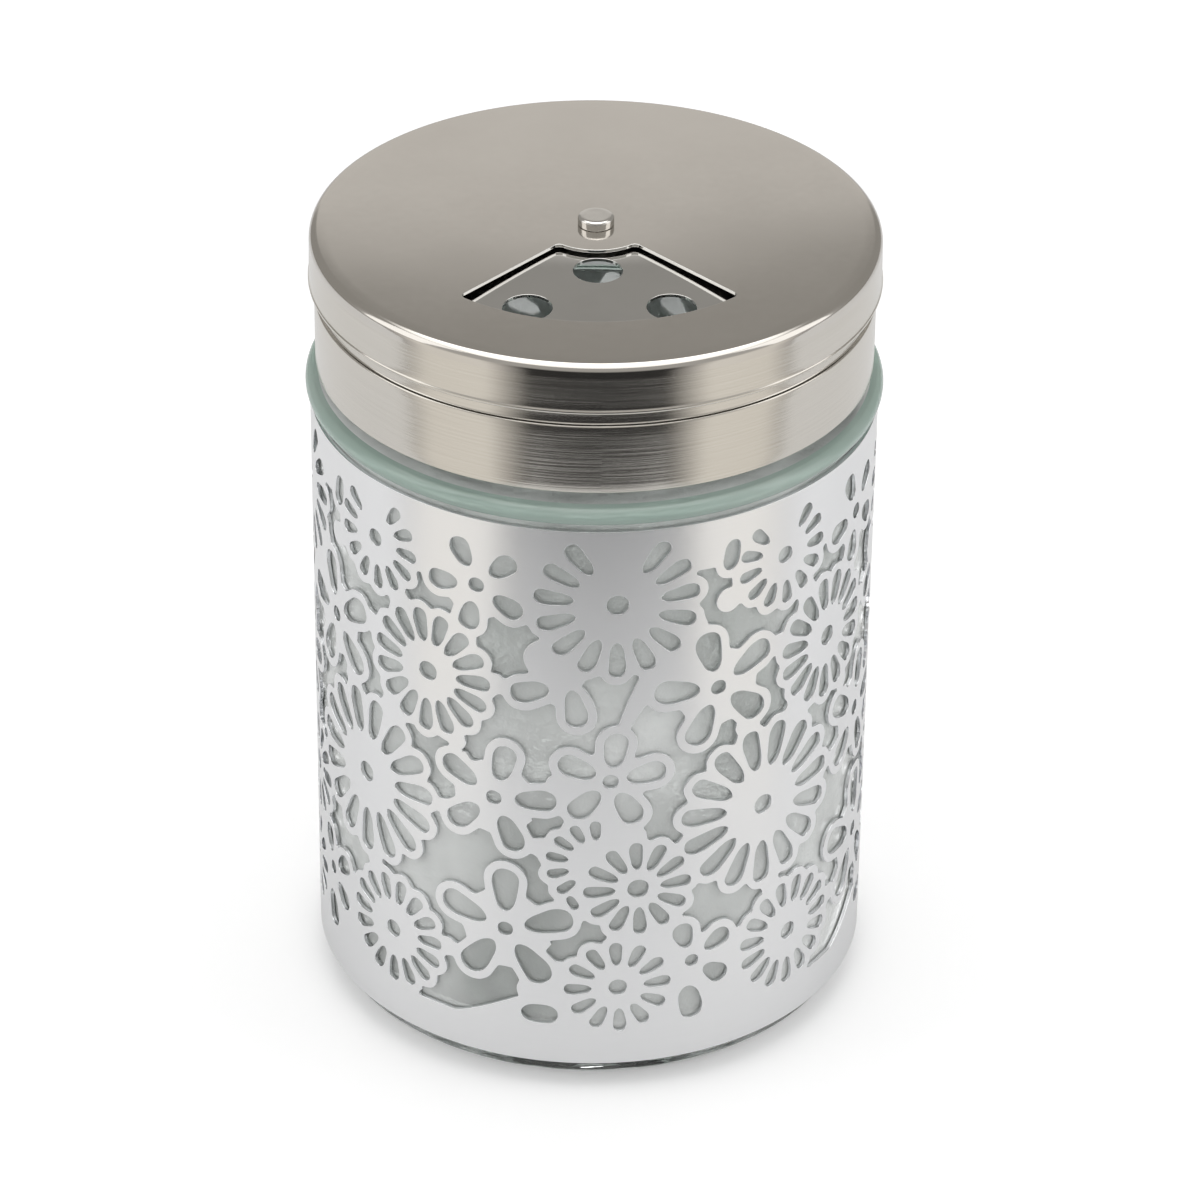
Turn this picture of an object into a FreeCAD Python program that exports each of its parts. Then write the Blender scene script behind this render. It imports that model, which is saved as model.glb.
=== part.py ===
import FreeCAD, Part
import Sketcher
import math
import os

from FreeCAD import Vector

# Spice jar: glass body, pierced steel sleeve, screw cap and a turning shaker dial.
# Millimetres, +Z up, origin at the middle of the base, front of the jar towards -Y.

os.makedirs("parts", exist_ok=True)
doc = FreeCAD.newDocument("spice_jar")
sheet = doc.addObject("Spreadsheet::Sheet", "Dimensions")

# Driving dimensions
driving = [
    ("sleeve_outer_radius", 33.0),
    ("sleeve_sheet", 0.45),
    ("sleeve_gap", 0.15),
    ("sleeve_bottom", 3.4),
    ("sleeve_top", 76.6),
    ("seam_gap", 0.3),
    ("seam_strip", 2.4),
    ("flower_rim", 1.05),
    ("smallest_gap_width", 0.9),
    ("gap_corner_round", 0.28),
    ("curve_step", 1.2),
    ("line_step", 0.15),
    ("line_room", 0.2),
    ("heel_round", 3.8),
    ("punt_height", 1.2),
    ("foot_inset", 8.4),
    ("glass_wall", 2.9),
    ("glass_floor", 5.0),
    ("inner_heel_round", 4.0),
    ("bead_round", 1.12),
    ("bead_rise", 1.9),
    ("shoulder_rise", 0.75),
    ("neck_height", 16.7),
    ("neck_wall", 2.8),
    ("neck_root_round", 0.7),
    ("inner_shoulder_rise", 0.5),
    ("rim_round", 0.8),
    ("thread_pitch", 4.0),
    ("thread_depth", 1.0),
    ("thread_root_width", 2.2),
    ("thread_crest_width", 1.0),
    ("thread_drop", 9.2),
    ("thread_bite", 0.3),
    ("thread_turns", 1.4),
    ("insert_turns", 1.2),
    ("thread_clearance", 0.38),
    ("cap_sheet", 0.4),
    ("cap_inset", 0.67),
    ("cap_ledge_width", 0.43),
    ("cap_lift", 2.7),
    ("cap_ledge_drop", 6.85),
    ("cap_ledge_round", 0.25),
    ("plate_rise", 1.45),
    ("plate_dome", 0.55),
    ("plate_rim_width", 7.4),
    ("plate_round", 1.0),
    ("land_radius", 5.0),
    ("insert_gap", 0.1),
    ("insert_wall", 1.55),
    ("insert_lift", 0.5),
    ("insert_rise", 0.2),
    ("seal_gap", 0.05),
    ("seal_inner_inset", 0.3),
    ("seal_outer_gap", 0.25),
    ("dial_sheet", 0.4),
    ("dial_side_gap", 0.53),
    ("dial_dome", 0.31),
    ("dial_round", 1.0),
    ("dial_flare", 0.06),
    ("lip_drop", 5.42),
    ("lip_height", 0.75),
    ("lip_curve", 0.62),
    ("window_inner_radius", 6.4),
    ("window_inset", 1.6),
    ("window_half_angle", 43.0),
    ("window_corner_round", 0.7),
    ("pour_inner_radius", 9.0),
    ("pour_inset", 3.5),
    ("pour_half_angle", 30.0),
    ("pour_corner_round", 1.2),
    ("large_hole_radius", 2.82),
    ("near_hole_inset", 3.4),
    ("far_hole_inset", 3.24),
    ("far_hole_angle", 24.2),
    ("fine_hole_radius", 1.1),
    ("rivet_head_radius", 2.08),
    ("rivet_head_height", 1.08),
    ("rivet_head_round", 0.35),
    ("rivet_shoulder_radius", 1.3),
    ("rivet_tail_radius", 1.1),
    ("rivet_peen_radius", 1.9),
    ("rivet_peen_height", 0.8),
    ("rivet_peen_round", 0.5),
    ("running_clearance", 0.08),
    ("fixed_clearance", 0.05),
    ("dial_play", 0.05),
    ("friction_washer_radius", 4.2),
    ("friction_washer_thickness", 0.28),
    ("backing_washer_radius", 2.8),
    ("backing_washer_thickness", 0.4),
]

# Rings of the fine holes, as shares of the plate's rim radius
hole_ring_shares = [
    ("fine_near_share", 0.3837),
    ("fine_middle_share", 0.5878),
    ("fine_far_share", 0.7918),
]

# Dimensions that follow from the driving ones
following = [
    ("glass_radius", "sleeve_outer_radius - sleeve_sheet - sleeve_gap"),
    ("sleeve_span", "sleeve_top - sleeve_bottom"),
    ("foot_inner_radius", "glass_radius - foot_inset"),
    ("bead_radius", "glass_radius + bead_round"),
    ("bead_height", "sleeve_top + bead_rise"),
    ("rim_height", "bead_height + neck_height"),
    ("inner_shoulder_height", "bead_height + inner_shoulder_rise"),
    ("thread_start_height", "rim_height - thread_drop"),
    ("cap_radius", "sleeve_outer_radius - cap_inset"),
    ("cap_upper_radius", "cap_radius - cap_ledge_width"),
    ("cap_bottom", "bead_height + cap_lift"),
    ("plate_rim_height", "rim_height + plate_rise"),
    ("plate_centre_height", "plate_rim_height + plate_dome"),
    ("plate_rim_radius", "cap_upper_radius - plate_rim_width"),
    ("cap_ledge_height", "plate_rim_height - cap_ledge_drop"),
    ("insert_bottom", "cap_bottom + insert_lift"),
    ("insert_top", "rim_height + insert_rise"),
    ("insert_bore", "cap_radius - cap_sheet - insert_gap - insert_wall"),
    ("insert_crest", "insert_bore - thread_depth"),
    ("neck_radius", "insert_crest - thread_clearance"),
    ("dial_radius", "cap_upper_radius + dial_side_gap + dial_sheet"),
    ("friction_washer_top", "plate_centre_height + friction_washer_thickness"),
    ("dial_centre_height", "friction_washer_top + dial_play + dial_sheet"),
    ("dial_rim_height", "dial_centre_height - dial_dome"),
    ("lip_top", "dial_rim_height - lip_drop"),
    ("lip_bottom", "lip_top - lip_height"),
    ("window_outer_radius", "plate_rim_radius - window_inset"),
    ("pour_outer_radius", "plate_rim_radius - pour_inset"),
    ("near_hole_ring", "window_inner_radius + near_hole_inset"),
    ("far_hole_ring", "window_outer_radius - far_hole_inset"),
    ("fine_ring_near", "plate_rim_radius * fine_near_share"),
    ("fine_ring_middle", "plate_rim_radius * fine_middle_share"),
    ("fine_ring_far", "plate_rim_radius * fine_far_share"),
    ("punt_curve", "(foot_inner_radius ^ 2 + punt_height ^ 2) / (2 * punt_height)"),
    ("glass_inner_radius", "glass_radius - glass_wall"),
    ("neck_bore", "neck_radius - neck_wall"),
    ("inner_shoulder_round", "(glass_inner_radius - neck_bore) / 2"),
    ("thread_root_half", "thread_root_width / 2"),
    ("thread_crest_half", "thread_crest_width / 2"),
    ("half_pitch", "thread_pitch / 2"),
    ("cap_edge_round", "cap_sheet / 2"),
    ("plate_inner_round", "plate_round - cap_sheet"),
    ("dial_inner_round", "dial_round - dial_sheet"),
    ("dial_bore", "rivet_shoulder_radius + running_clearance"),
    ("plate_bore", "rivet_tail_radius + fixed_clearance"),
    ("washer_bore", "rivet_shoulder_radius + fixed_clearance"),
    ("rivet_head_under", "dial_centre_height + dial_play"),
    ("backing_washer_top", "plate_centre_height - cap_sheet"),
]


def with_sheet_names(words):
    out = []
    for token in words.split():
        bare = token.strip("()")
        if bare.isidentifier():
            token = token.replace(bare, "Dimensions." + bare)
        out.append(token)
    return " ".join(out)


row = 0
for alias, value in driving + hole_ring_shares:
    row += 1
    sheet.set("A%d" % row, alias)
    sheet.set("B%d" % row, str(value))
    sheet.setAlias("B%d" % row, alias)
for alias, words in following:
    row += 1
    sheet.set("A%d" % row, alias)
    sheet.set("B%d" % row, "=" + words)
    sheet.setAlias("B%d" % row, alias)
doc.recompute()


def size(words):
    """Number for a plain sum of sheet names, such as 'neck_radius - rim_round'."""
    total = 0.0
    sign = 1.0
    for token in words.split():
        if token == "+":
            sign = 1.0
        elif token == "-":
            sign = -1.0
        elif token == "0":
            continue
        else:
            total += sign * float(getattr(sheet, token))
    return total


# Helpers for bodies and sketches


def new_body(name):
    body = doc.addObject("PartDesign::Body", name)
    body.Label = name
    return body


def origin_plane(body, role):
    for feature in body.Origin.OriginFeatures:
        if feature.Role == role:
            return feature
    raise ValueError("no plane " + role)


def new_sketch(body, name, role):
    sketch = body.newObject("Sketcher::SketchObject", name)
    sketch.AttachmentSupport = [(origin_plane(body, role), "")]
    sketch.MapMode = "FlatFace"
    return sketch


def bind(sketch, constraint, words):
    index = sketch.addConstraint(constraint)
    sketch.setExpression("Constraints[%d]" % index, words)


def pin_point(sketch, geo, pos, across, up):
    for kind, words, axis in (("DistanceX", across, -2), ("DistanceY", up, -1)):
        if words == "0":
            sketch.addConstraint(Sketcher.Constraint("PointOnObject", geo, pos, axis))
        else:
            constraint = Sketcher.Constraint(kind, -1, 1, geo, pos, size(words))
            bind(sketch, constraint, with_sheet_names(words))


def profile_sketch(body, name, corners):
    """Closed half section in the XZ plane: (radius words, height words, round words, side).

    The round and side describe the run from this corner to the next: no round is a straight
    line, side 1 has its centre on the left of travel and side -1 on the right."""
    sketch = new_sketch(body, name, "XZ_Plane")
    points = [Vector(size(c[0]), size(c[1]), 0) for c in corners]
    ends = []
    for i, corner in enumerate(corners):
        start = points[i]
        end = points[(i + 1) % len(points)]
        if corner[2] is None:
            geo = sketch.addGeometry(Part.LineSegment(start, end), False)
            ends.append((geo, 1, 2))
            continue
        radius = size(corner[2])
        chord = end - start
        across = Vector(-chord.y, chord.x, 0).normalize()
        rise = math.sqrt(max(radius ** 2 - (chord.Length / 2) ** 2, 0))
        middle = (start + end) * 0.5 + across * (corner[3] * rise)
        first = math.atan2(start.y - middle.y, start.x - middle.x)
        last = math.atan2(end.y - middle.y, end.x - middle.x)
        circle = Part.Circle(middle, Vector(0, 0, 1), radius)
        if corner[3] > 0:
            geo = sketch.addGeometry(Part.ArcOfCircle(circle, first, last), False)
            ends.append((geo, 1, 2))
        else:
            geo = sketch.addGeometry(Part.ArcOfCircle(circle, last, first), False)
            ends.append((geo, 2, 1))
    for i, (geo, first, last) in enumerate(ends):
        after = ends[(i + 1) % len(ends)]
        sketch.addConstraint(Sketcher.Constraint("Coincident", geo, last, after[0], after[1]))
    for i, (geo, first, last) in enumerate(ends):
        pin_point(sketch, geo, first, corners[i][0], corners[i][1])
        if corners[i][2] is not None:
            constraint = Sketcher.Constraint("Radius", geo, size(corners[i][2]))
            bind(sketch, constraint, with_sheet_names(corners[i][2]))
    return sketch


def turn_profile(body, name, corners):
    sketch = profile_sketch(body, name + "_section", corners)
    feature = body.newObject("PartDesign::Revolution", name)
    feature.Profile = sketch
    feature.ReferenceAxis = (sketch, ["V_Axis"])
    feature.Angle = 360
    doc.recompute()
    return feature


def wind_thread(body, name, corners, turns):
    sketch = profile_sketch(body, name + "_section", corners)
    feature = body.newObject("PartDesign::AdditiveHelix", name)
    feature.Profile = sketch
    feature.ReferenceAxis = (sketch, ["V_Axis"])
    feature.Mode = 1
    feature.Angle = 0
    feature.setExpression("Pitch", "Dimensions.thread_pitch")
    feature.setExpression("Turns", "Dimensions." + turns)
    doc.recompute()
    return feature


def cut_upwards(body, name, sketch):
    before = body.Shape.Volume
    feature = body.newObject("PartDesign::Pocket", name)
    feature.Profile = sketch
    feature.Type = 1
    feature.Reversed = True
    doc.recompute()
    if not body.Shape.Volume < before:
        raise ValueError(name + " took nothing away")
    return feature


def round_holes(body, name, rows):
    """Round holes through the plate: (ring, angle from the front in degrees, radius)."""
    sketch = new_sketch(body, name + "_places", "XY_Plane")
    for ring, angle, radius in rows:
        around = math.radians(angle)
        place = Vector(size(ring) * math.sin(around), -size(ring) * math.cos(around), 0)
        geo = sketch.addGeometry(Part.Circle(place, Vector(0, 0, 1), size(radius)), False)
        bind(sketch, Sketcher.Constraint("Radius", geo, size(radius)), "Dimensions." + radius)
        for kind, number, form in (("DistanceX", place.x, "Dimensions.%s * sin(%r deg)"),
                                   ("DistanceY", place.y, "-Dimensions.%s * cos(%r deg)")):
            bind(sketch, Sketcher.Constraint(kind, -1, 1, geo, 3, number), form % (ring, angle))
    return cut_upwards(body, name, sketch)


def sector_window(body, name, inner, outer, half_angle, corner_round, turned):
    """Sector opening with radial sides, facing the front and then turned about the axis."""
    sketch = new_sketch(body, name + "_outline", "XY_Plane")
    spin = FreeCAD.Rotation(Vector(0, 0, 1), turned)
    sketch.AttachmentOffset = FreeCAD.Placement(Vector(0, 0, 0), spin)
    half = math.radians(size(half_angle))
    down = -math.pi / 2
    arcs = []
    for radius in (inner, outer):
        circle = Part.Circle(Vector(0, 0, 0), Vector(0, 0, 1), size(radius))
        arcs.append(sketch.addGeometry(Part.ArcOfCircle(circle, down - half, down + half), False))
    for geo, radius in zip(arcs, (inner, outer)):
        sketch.addConstraint(Sketcher.Constraint("Coincident", geo, 3, -1, 1))
        bind(sketch, Sketcher.Constraint("Radius", geo, size(radius)), "Dimensions." + radius)
    for pos, side in ((1, -1), (2, 1)):
        way = Vector(math.sin(side * half), -math.cos(half), 0)
        line = sketch.addGeometry(Part.LineSegment(way * size(inner), way * size(outer)), False)
        sketch.addConstraint(Sketcher.Constraint("Coincident", line, 1, arcs[0], pos))
        sketch.addConstraint(Sketcher.Constraint("Coincident", line, 2, arcs[1], pos))
        across = "Dimensions.%s * sin(Dimensions.%s * 1 deg)" % (outer, half_angle)
        number = way.x * size(outer)
        words = across if side > 0 else "-" + across
        bind(sketch, Sketcher.Constraint("DistanceX", -1, 1, line, 2, number), words)
        sketch.addConstraint(Sketcher.Constraint("PointOnObject", -1, 1, line))
    pocket = cut_upwards(body, name, sketch)
    names = []
    for index, edge in enumerate(pocket.Shape.Edges):
        if edge.Curve.TypeId != "Part::GeomLine":
            continue
        low = edge.Vertexes[0].Point
        high = edge.Vertexes[-1].Point
        reach = math.hypot(low.x, low.y)
        upright = math.hypot(high.x - low.x, high.y - low.y) < size("cap_edge_round") / 100
        facing = math.degrees(math.atan2(low.y, low.x)) - (turned - 90)
        facing = (facing + 180) % 360 - 180
        near = abs(facing) < size(half_angle) + 1
        inside = size(inner) - size(corner_round) < reach < size(outer) + size(corner_round)
        if upright and near and inside:
            names.append("Edge%d" % (index + 1))
    if len(names) != 4:
        raise ValueError(name + " should have four corners")
    fillet = body.newObject("PartDesign::Fillet", name + "_corners")
    fillet.Base = (pocket, names)
    fillet.setExpression("Radius", "Dimensions." + corner_round)
    doc.recompute()
    return fillet


# Glass jar: heel, wall, bead under the neck, threaded neck and hollow inside
glass_jar = new_body("glass_jar")
turn_profile(glass_jar, "jar_glass", [
    ("0", "punt_height", "punt_curve", -1),
    ("foot_inner_radius", "0", None, 0),
    ("glass_radius - heel_round", "0", "heel_round", 1),
    ("glass_radius", "heel_round", None, 0),
    ("glass_radius", "bead_height - bead_round", "bead_round", 1),
    ("glass_radius + bead_round", "bead_height", "bead_round", 1),
    ("glass_radius", "bead_height + bead_round", None, 0),
    ("neck_radius + neck_root_round", "bead_height + bead_round + shoulder_rise", "neck_root_round", -1),
    ("neck_radius", "bead_height + bead_round + shoulder_rise + neck_root_round", None, 0),
    ("neck_radius", "rim_height - rim_round", "rim_round", 1),
    ("neck_radius - rim_round", "rim_height", None, 0),
    ("neck_bore + rim_round", "rim_height", "rim_round", 1),
    ("neck_bore", "rim_height - rim_round", None, 0),
    ("neck_bore", "inner_shoulder_height", "inner_shoulder_round", 1),
    ("neck_bore + inner_shoulder_round", "inner_shoulder_height - inner_shoulder_round",
     "inner_shoulder_round", -1),
    ("glass_inner_radius", "inner_shoulder_height - inner_shoulder_round - inner_shoulder_round", None, 0),
    ("glass_inner_radius", "glass_floor + inner_heel_round", "inner_heel_round", -1),
    ("glass_inner_radius - inner_heel_round", "glass_floor", None, 0),
    ("0", "glass_floor", None, 0),
])
wind_thread(glass_jar, "neck_thread", [
    ("neck_radius - thread_bite", "thread_start_height - thread_root_half", None, 0),
    ("neck_radius", "thread_start_height - thread_root_half", None, 0),
    ("neck_radius + thread_depth", "thread_start_height - thread_crest_half", None, 0),
    ("neck_radius + thread_depth", "thread_start_height + thread_crest_half", None, 0),
    ("neck_radius", "thread_start_height + thread_root_half", None, 0),
    ("neck_radius - thread_bite", "thread_start_height + thread_root_half", None, 0),
], "thread_turns")

# Screw cap: drawn steel shell with a slightly coned top plate and four fields
screw_cap = new_body("screw_cap")
turn_profile(screw_cap, "cap_shell", [
    ("plate_bore", "plate_centre_height - cap_sheet", None, 0),
    ("land_radius", "plate_centre_height - cap_sheet", None, 0),
    ("plate_rim_radius", "plate_rim_height - cap_sheet", None, 0),
    ("cap_upper_radius - plate_round", "plate_rim_height - cap_sheet", "plate_inner_round", -1),
    ("cap_upper_radius - cap_sheet", "plate_rim_height - plate_round", None, 0),
    ("cap_upper_radius - cap_sheet", "cap_ledge_height - cap_sheet", None, 0),
    ("cap_radius - cap_sheet", "cap_ledge_height - cap_sheet", None, 0),
    ("cap_radius - cap_sheet", "cap_bottom + cap_edge_round", "cap_edge_round", 1),
    ("cap_radius - cap_edge_round", "cap_bottom", "cap_edge_round", 1),
    ("cap_radius", "cap_bottom + cap_edge_round", None, 0),
    ("cap_radius", "cap_ledge_height - cap_ledge_round", "cap_ledge_round", 1),
    ("cap_radius - cap_ledge_round", "cap_ledge_height", None, 0),
    ("cap_upper_radius", "cap_ledge_height", None, 0),
    ("cap_upper_radius", "plate_rim_height - plate_round", "plate_round", 1),
    ("cap_upper_radius - plate_round", "plate_rim_height", None, 0),
    ("plate_rim_radius", "plate_rim_height", None, 0),
    ("land_radius", "plate_centre_height", None, 0),
    ("plate_bore", "plate_centre_height", None, 0),
])
round_holes(screw_cap, "large_holes", [
    ("near_hole_ring", 0.0, "large_hole_radius"),
    ("far_hole_ring", -size("far_hole_angle"), "large_hole_radius"),
    ("far_hole_ring", size("far_hole_angle"), "large_hole_radius"),
])
fine_rows = []
for ring, angles in (("fine_ring_near", (78.0, 102.0)),
                     ("fine_ring_middle", (68.0, 90.0, 112.0)),
                     ("fine_ring_far", (64.0, 81.0, 99.0, 116.0))):
    for angle in angles:
        fine_rows.append((ring, angle, "fine_hole_radius"))
round_holes(screw_cap, "fine_holes", fine_rows)
sector_window(screw_cap, "pour_opening", "pour_inner_radius", "pour_outer_radius",
              "pour_half_angle", "pour_corner_round", -90.0)

# Plastic ring with the inside thread, fixed in the cap
thread_insert = new_body("thread_insert")
turn_profile(thread_insert, "insert_ring", [
    ("insert_bore", "insert_bottom", None, 0),
    ("cap_radius - cap_sheet - insert_gap", "insert_bottom", None, 0),
    ("cap_radius - cap_sheet - insert_gap", "cap_ledge_height - cap_sheet - insert_gap", None, 0),
    ("cap_upper_radius - cap_sheet - insert_gap", "cap_ledge_height - cap_sheet - insert_gap", None, 0),
    ("cap_upper_radius - cap_sheet - insert_gap", "insert_top", None, 0),
    ("insert_bore", "insert_top", None, 0),
])
wind_thread(thread_insert, "insert_thread", [
    ("insert_crest", "thread_start_height - half_pitch - thread_crest_half", None, 0),
    ("insert_bore", "thread_start_height - half_pitch - thread_root_half", None, 0),
    ("insert_bore + thread_bite", "thread_start_height - half_pitch - thread_root_half", None, 0),
    ("insert_bore + thread_bite", "thread_start_height - half_pitch + thread_root_half", None, 0),
    ("insert_bore", "thread_start_height - half_pitch + thread_root_half", None, 0),
    ("insert_crest", "thread_start_height - half_pitch + thread_crest_half", None, 0),
], "insert_turns")

# Flat soft ring between the neck rim and the top plate
sealing_ring = new_body("sealing_ring")
turn_profile(sealing_ring, "seal", [
    ("neck_bore + seal_inner_inset", "rim_height + seal_gap", None, 0),
    ("insert_bore - seal_outer_gap", "rim_height + seal_gap", None, 0),
    ("insert_bore - seal_outer_gap", "plate_rim_height - cap_sheet - seal_gap", None, 0),
    ("neck_bore + seal_inner_inset", "plate_rim_height - cap_sheet - seal_gap", None, 0),
])

# Dial: low dome with a flared skirt, a rolled lip and one window
shaker_dial = new_body("shaker_dial")
turn_profile(shaker_dial, "dial_shell", [
    ("dial_bore", "dial_centre_height - dial_sheet", None, 0),
    ("land_radius", "dial_centre_height - dial_sheet", None, 0),
    ("dial_radius - dial_round", "dial_rim_height - dial_sheet", "dial_inner_round", -1),
    ("dial_radius - dial_sheet", "dial_rim_height - dial_round", None, 0),
    ("dial_radius + dial_flare - dial_sheet", "lip_top", None, 0),
    ("dial_radius + dial_flare - dial_sheet", "lip_bottom", None, 0),
    ("dial_radius + dial_flare", "lip_bottom", "lip_curve", 1),
    ("dial_radius + dial_flare", "lip_top", None, 0),
    ("dial_radius", "dial_rim_height - dial_round", "dial_round", 1),
    ("dial_radius - dial_round", "dial_rim_height", None, 0),
    ("land_radius", "dial_centre_height", None, 0),
    ("dial_bore", "dial_centre_height", None, 0),
])
sector_window(shaker_dial, "window", "window_inner_radius", "window_outer_radius",
              "window_half_angle", "window_corner_round", 0.0)

# Shoulder rivet that carries the dial
pivot_rivet = new_body("pivot_rivet")
turn_profile(pivot_rivet, "rivet", [
    ("0", "backing_washer_top - backing_washer_thickness - rivet_peen_height", None, 0),
    ("rivet_peen_radius - rivet_peen_round",
     "backing_washer_top - backing_washer_thickness - rivet_peen_height", "rivet_peen_round", 1),
    ("rivet_peen_radius",
     "backing_washer_top - backing_washer_thickness - rivet_peen_height + rivet_peen_round", None, 0),
    ("rivet_peen_radius", "backing_washer_top - backing_washer_thickness", None, 0),
    ("rivet_tail_radius", "backing_washer_top - backing_washer_thickness", None, 0),
    ("rivet_tail_radius", "plate_centre_height", None, 0),
    ("rivet_shoulder_radius", "plate_centre_height", None, 0),
    ("rivet_shoulder_radius", "rivet_head_under", None, 0),
    ("rivet_head_radius", "rivet_head_under", None, 0),
    ("rivet_head_radius", "rivet_head_under + rivet_head_height - rivet_head_round", "rivet_head_round", 1),
    ("rivet_head_radius - rivet_head_round", "rivet_head_under + rivet_head_height", None, 0),
    ("0", "rivet_head_under + rivet_head_height", None, 0),
])

# Washers on the rivet
friction_washer = new_body("friction_washer")
turn_profile(friction_washer, "upper_washer", [
    ("washer_bore", "plate_centre_height", None, 0),
    ("friction_washer_radius", "plate_centre_height", None, 0),
    ("friction_washer_radius", "friction_washer_top", None, 0),
    ("washer_bore", "friction_washer_top", None, 0),
])
backing_washer = new_body("backing_washer")
turn_profile(backing_washer, "lower_washer", [
    ("plate_bore", "backing_washer_top - backing_washer_thickness", None, 0),
    ("backing_washer_radius", "backing_washer_top - backing_washer_thickness", None, 0),
    ("backing_washer_radius", "backing_washer_top", None, 0),
    ("plate_bore", "backing_washer_top", None, 0),
])

# Pierced sleeve: flowers are laid out on the flat blank, then wrapped round the jar.
# Places across are shares of one repeat, heights and radii are shares of the sleeve's height.
repeats = 4
# Daisies: place, height, outer and inner reach, outer and inner petal ends, eye, petals, first angle, kept
daisy_shares = [
    (0.399, 0.445, 0.149, 0.070, 0.0155, 0.0055, 0.0170, 15, -90.0, 15),
    (-0.401, 0.698, 0.111, 0.052, 0.0130, 0.0052, 0.0165, 15, 3.0, 15),
    (0.038, 0.869, 0.131, 0.068, 0.0130, 0.0050, 0.0172, 15, 126.0, 13),
    (-0.557, 0.896, 0.089, 0.048, 0.0102, 0.0042, 0.0143, 13, 136.0, 11),
    (-0.512, 0.172, 0.101, 0.053, 0.0110, 0.0045, 0.0150, 15, 6.0, 15),
    (0.092, 0.339, 0.0875, 0.036, 0.0106, 0.0042, 0.0170, 12, -87.0, 12),
    (0.049, 0.150, 0.0865, 0.042, 0.0102, 0.0042, 0.0146, 12, -87.0, 12),
    (0.000, 0.388, 0.083, 0.047, 0.0085, 0.0045, 0.0, 14, 93.0, 6),
]
# Blossoms: place, height, outer and inner reach, outer and inner petal ends, eye, first angle, kept
blossom_shares = [
    (-0.277, 0.882, 0.085, 0.033, 0.0175, 0.0110, 0.0127, 43.0, 5),
    (0.272, 0.694, 0.107, 0.032, 0.0215, 0.0100, 0.0127, 103.0, 5),
    (-0.236, 0.497, 0.102, 0.035, 0.0190, 0.0120, 0.0127, 5.0, 5),
    (-0.209, 0.250, 0.115, 0.034, 0.0225, 0.0100, 0.0127, 90.0, 5),
    (0.027, 0.545, 0.090, 0.026, 0.0190, 0.0120, 0.0125, 11.0, 5),
    (0.221, 0.184, 0.077, 0.028, 0.0170, 0.0100, 0.0112, -38.0, 3),
]
# Single leaves: place, height, half length, outer and inner ends, angle
leaf_shares = [
    (-0.129, 0.093, 0.0300, 0.0170, 0.0150, 0.0),
    (-0.154, 0.705, 0.0315, 0.0185, 0.0130, 197.0),
    (-0.053, 0.680, 0.0345, 0.0180, 0.0070, -80.0),
    (0.219, 0.103, 0.0320, 0.0190, 0.0150, -78.0),
    (0.298, 0.930, 0.0270, 0.0120, 0.0110, 80.0),
    (-0.055, 0.314, 0.0140, 0.0070, 0.0060, -62.0),
]
# Plain metal: place, height and radius of round parts of the blank that join the flowers
plain_shares = [
    (-0.040, -0.210, 0.345),
    (0.227, -0.023, 0.1475),
    (0.293, 0.850, 0.022),
    (-0.384, 0.912, 0.038),
    (-0.301, 0.806, 0.020),
    (-0.484, 0.808, 0.022),
    (-0.232, 0.709, 0.019),
    (-0.090, 0.698, 0.015),
    (-0.116, 0.766, 0.037),
    (-0.062, 0.740, 0.023),
    (0.188, 0.780, 0.027),
    (0.204, 0.814, 0.028),
    (0.171, 0.773, 0.028),
    (0.430, 0.736, 0.019),
    (0.343, 0.606, 0.018),
    (-0.512, 0.600, 0.022),
    (-0.327, 0.587, 0.017),
    (-0.354, 0.452, 0.018),
    (-0.093, 0.538, 0.017),
    (-0.127, 0.415, 0.019),
    (-0.079, 0.298, 0.018),
    (-0.084, 0.183, 0.016),
    (0.202, 0.363, 0.020),
    (0.427, 0.284, 0.019),
    (0.338, 0.158, 0.018),
    (-0.353, 0.186, 0.018),
    (0.138, 0.233, 0.024),
    (-0.140, 0.138, 0.030),
]
# Straight bridge: place, height, half length, half width, angle
bar_shares = [
    (0.083, 0.693, 0.060, 0.0095, 68.0),
]
# Width of one repeat of the pattern for the sleeve's height
drawn_width_share = 0.70815
# How often the room between two panel borders is halved by a new one
panel_halvings = 2
# Lower and upper limit of the gaps between flowers
gap_limit_shares = (0.067, 0.915)
side_curve_share = 1.9
tile = 360.0 / repeats


# The pattern is drawn as wide as its height asks for, and then stretched along the blank to fit round
drawn_width = size("sleeve_span") * drawn_width_share
repeat_width = math.radians(tile) * size("sleeve_outer_radius")
stretch = repeat_width / drawn_width


def on_drawing(place_share, height_share):
    return Vector(place_share * drawn_width, size("sleeve_bottom") + height_share * size("sleeve_span"), 0)


def part_of_span(share):
    return share * size("sleeve_span")


def arc_run(middle, radius, first, last, count):
    """Points along an arc, leaving out its last point."""
    points = []
    for i in range(count):
        angle = first + (last - first) * i / count
        points.append(middle + Vector(math.cos(angle), math.sin(angle), 0) * radius)
    return points


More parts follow.
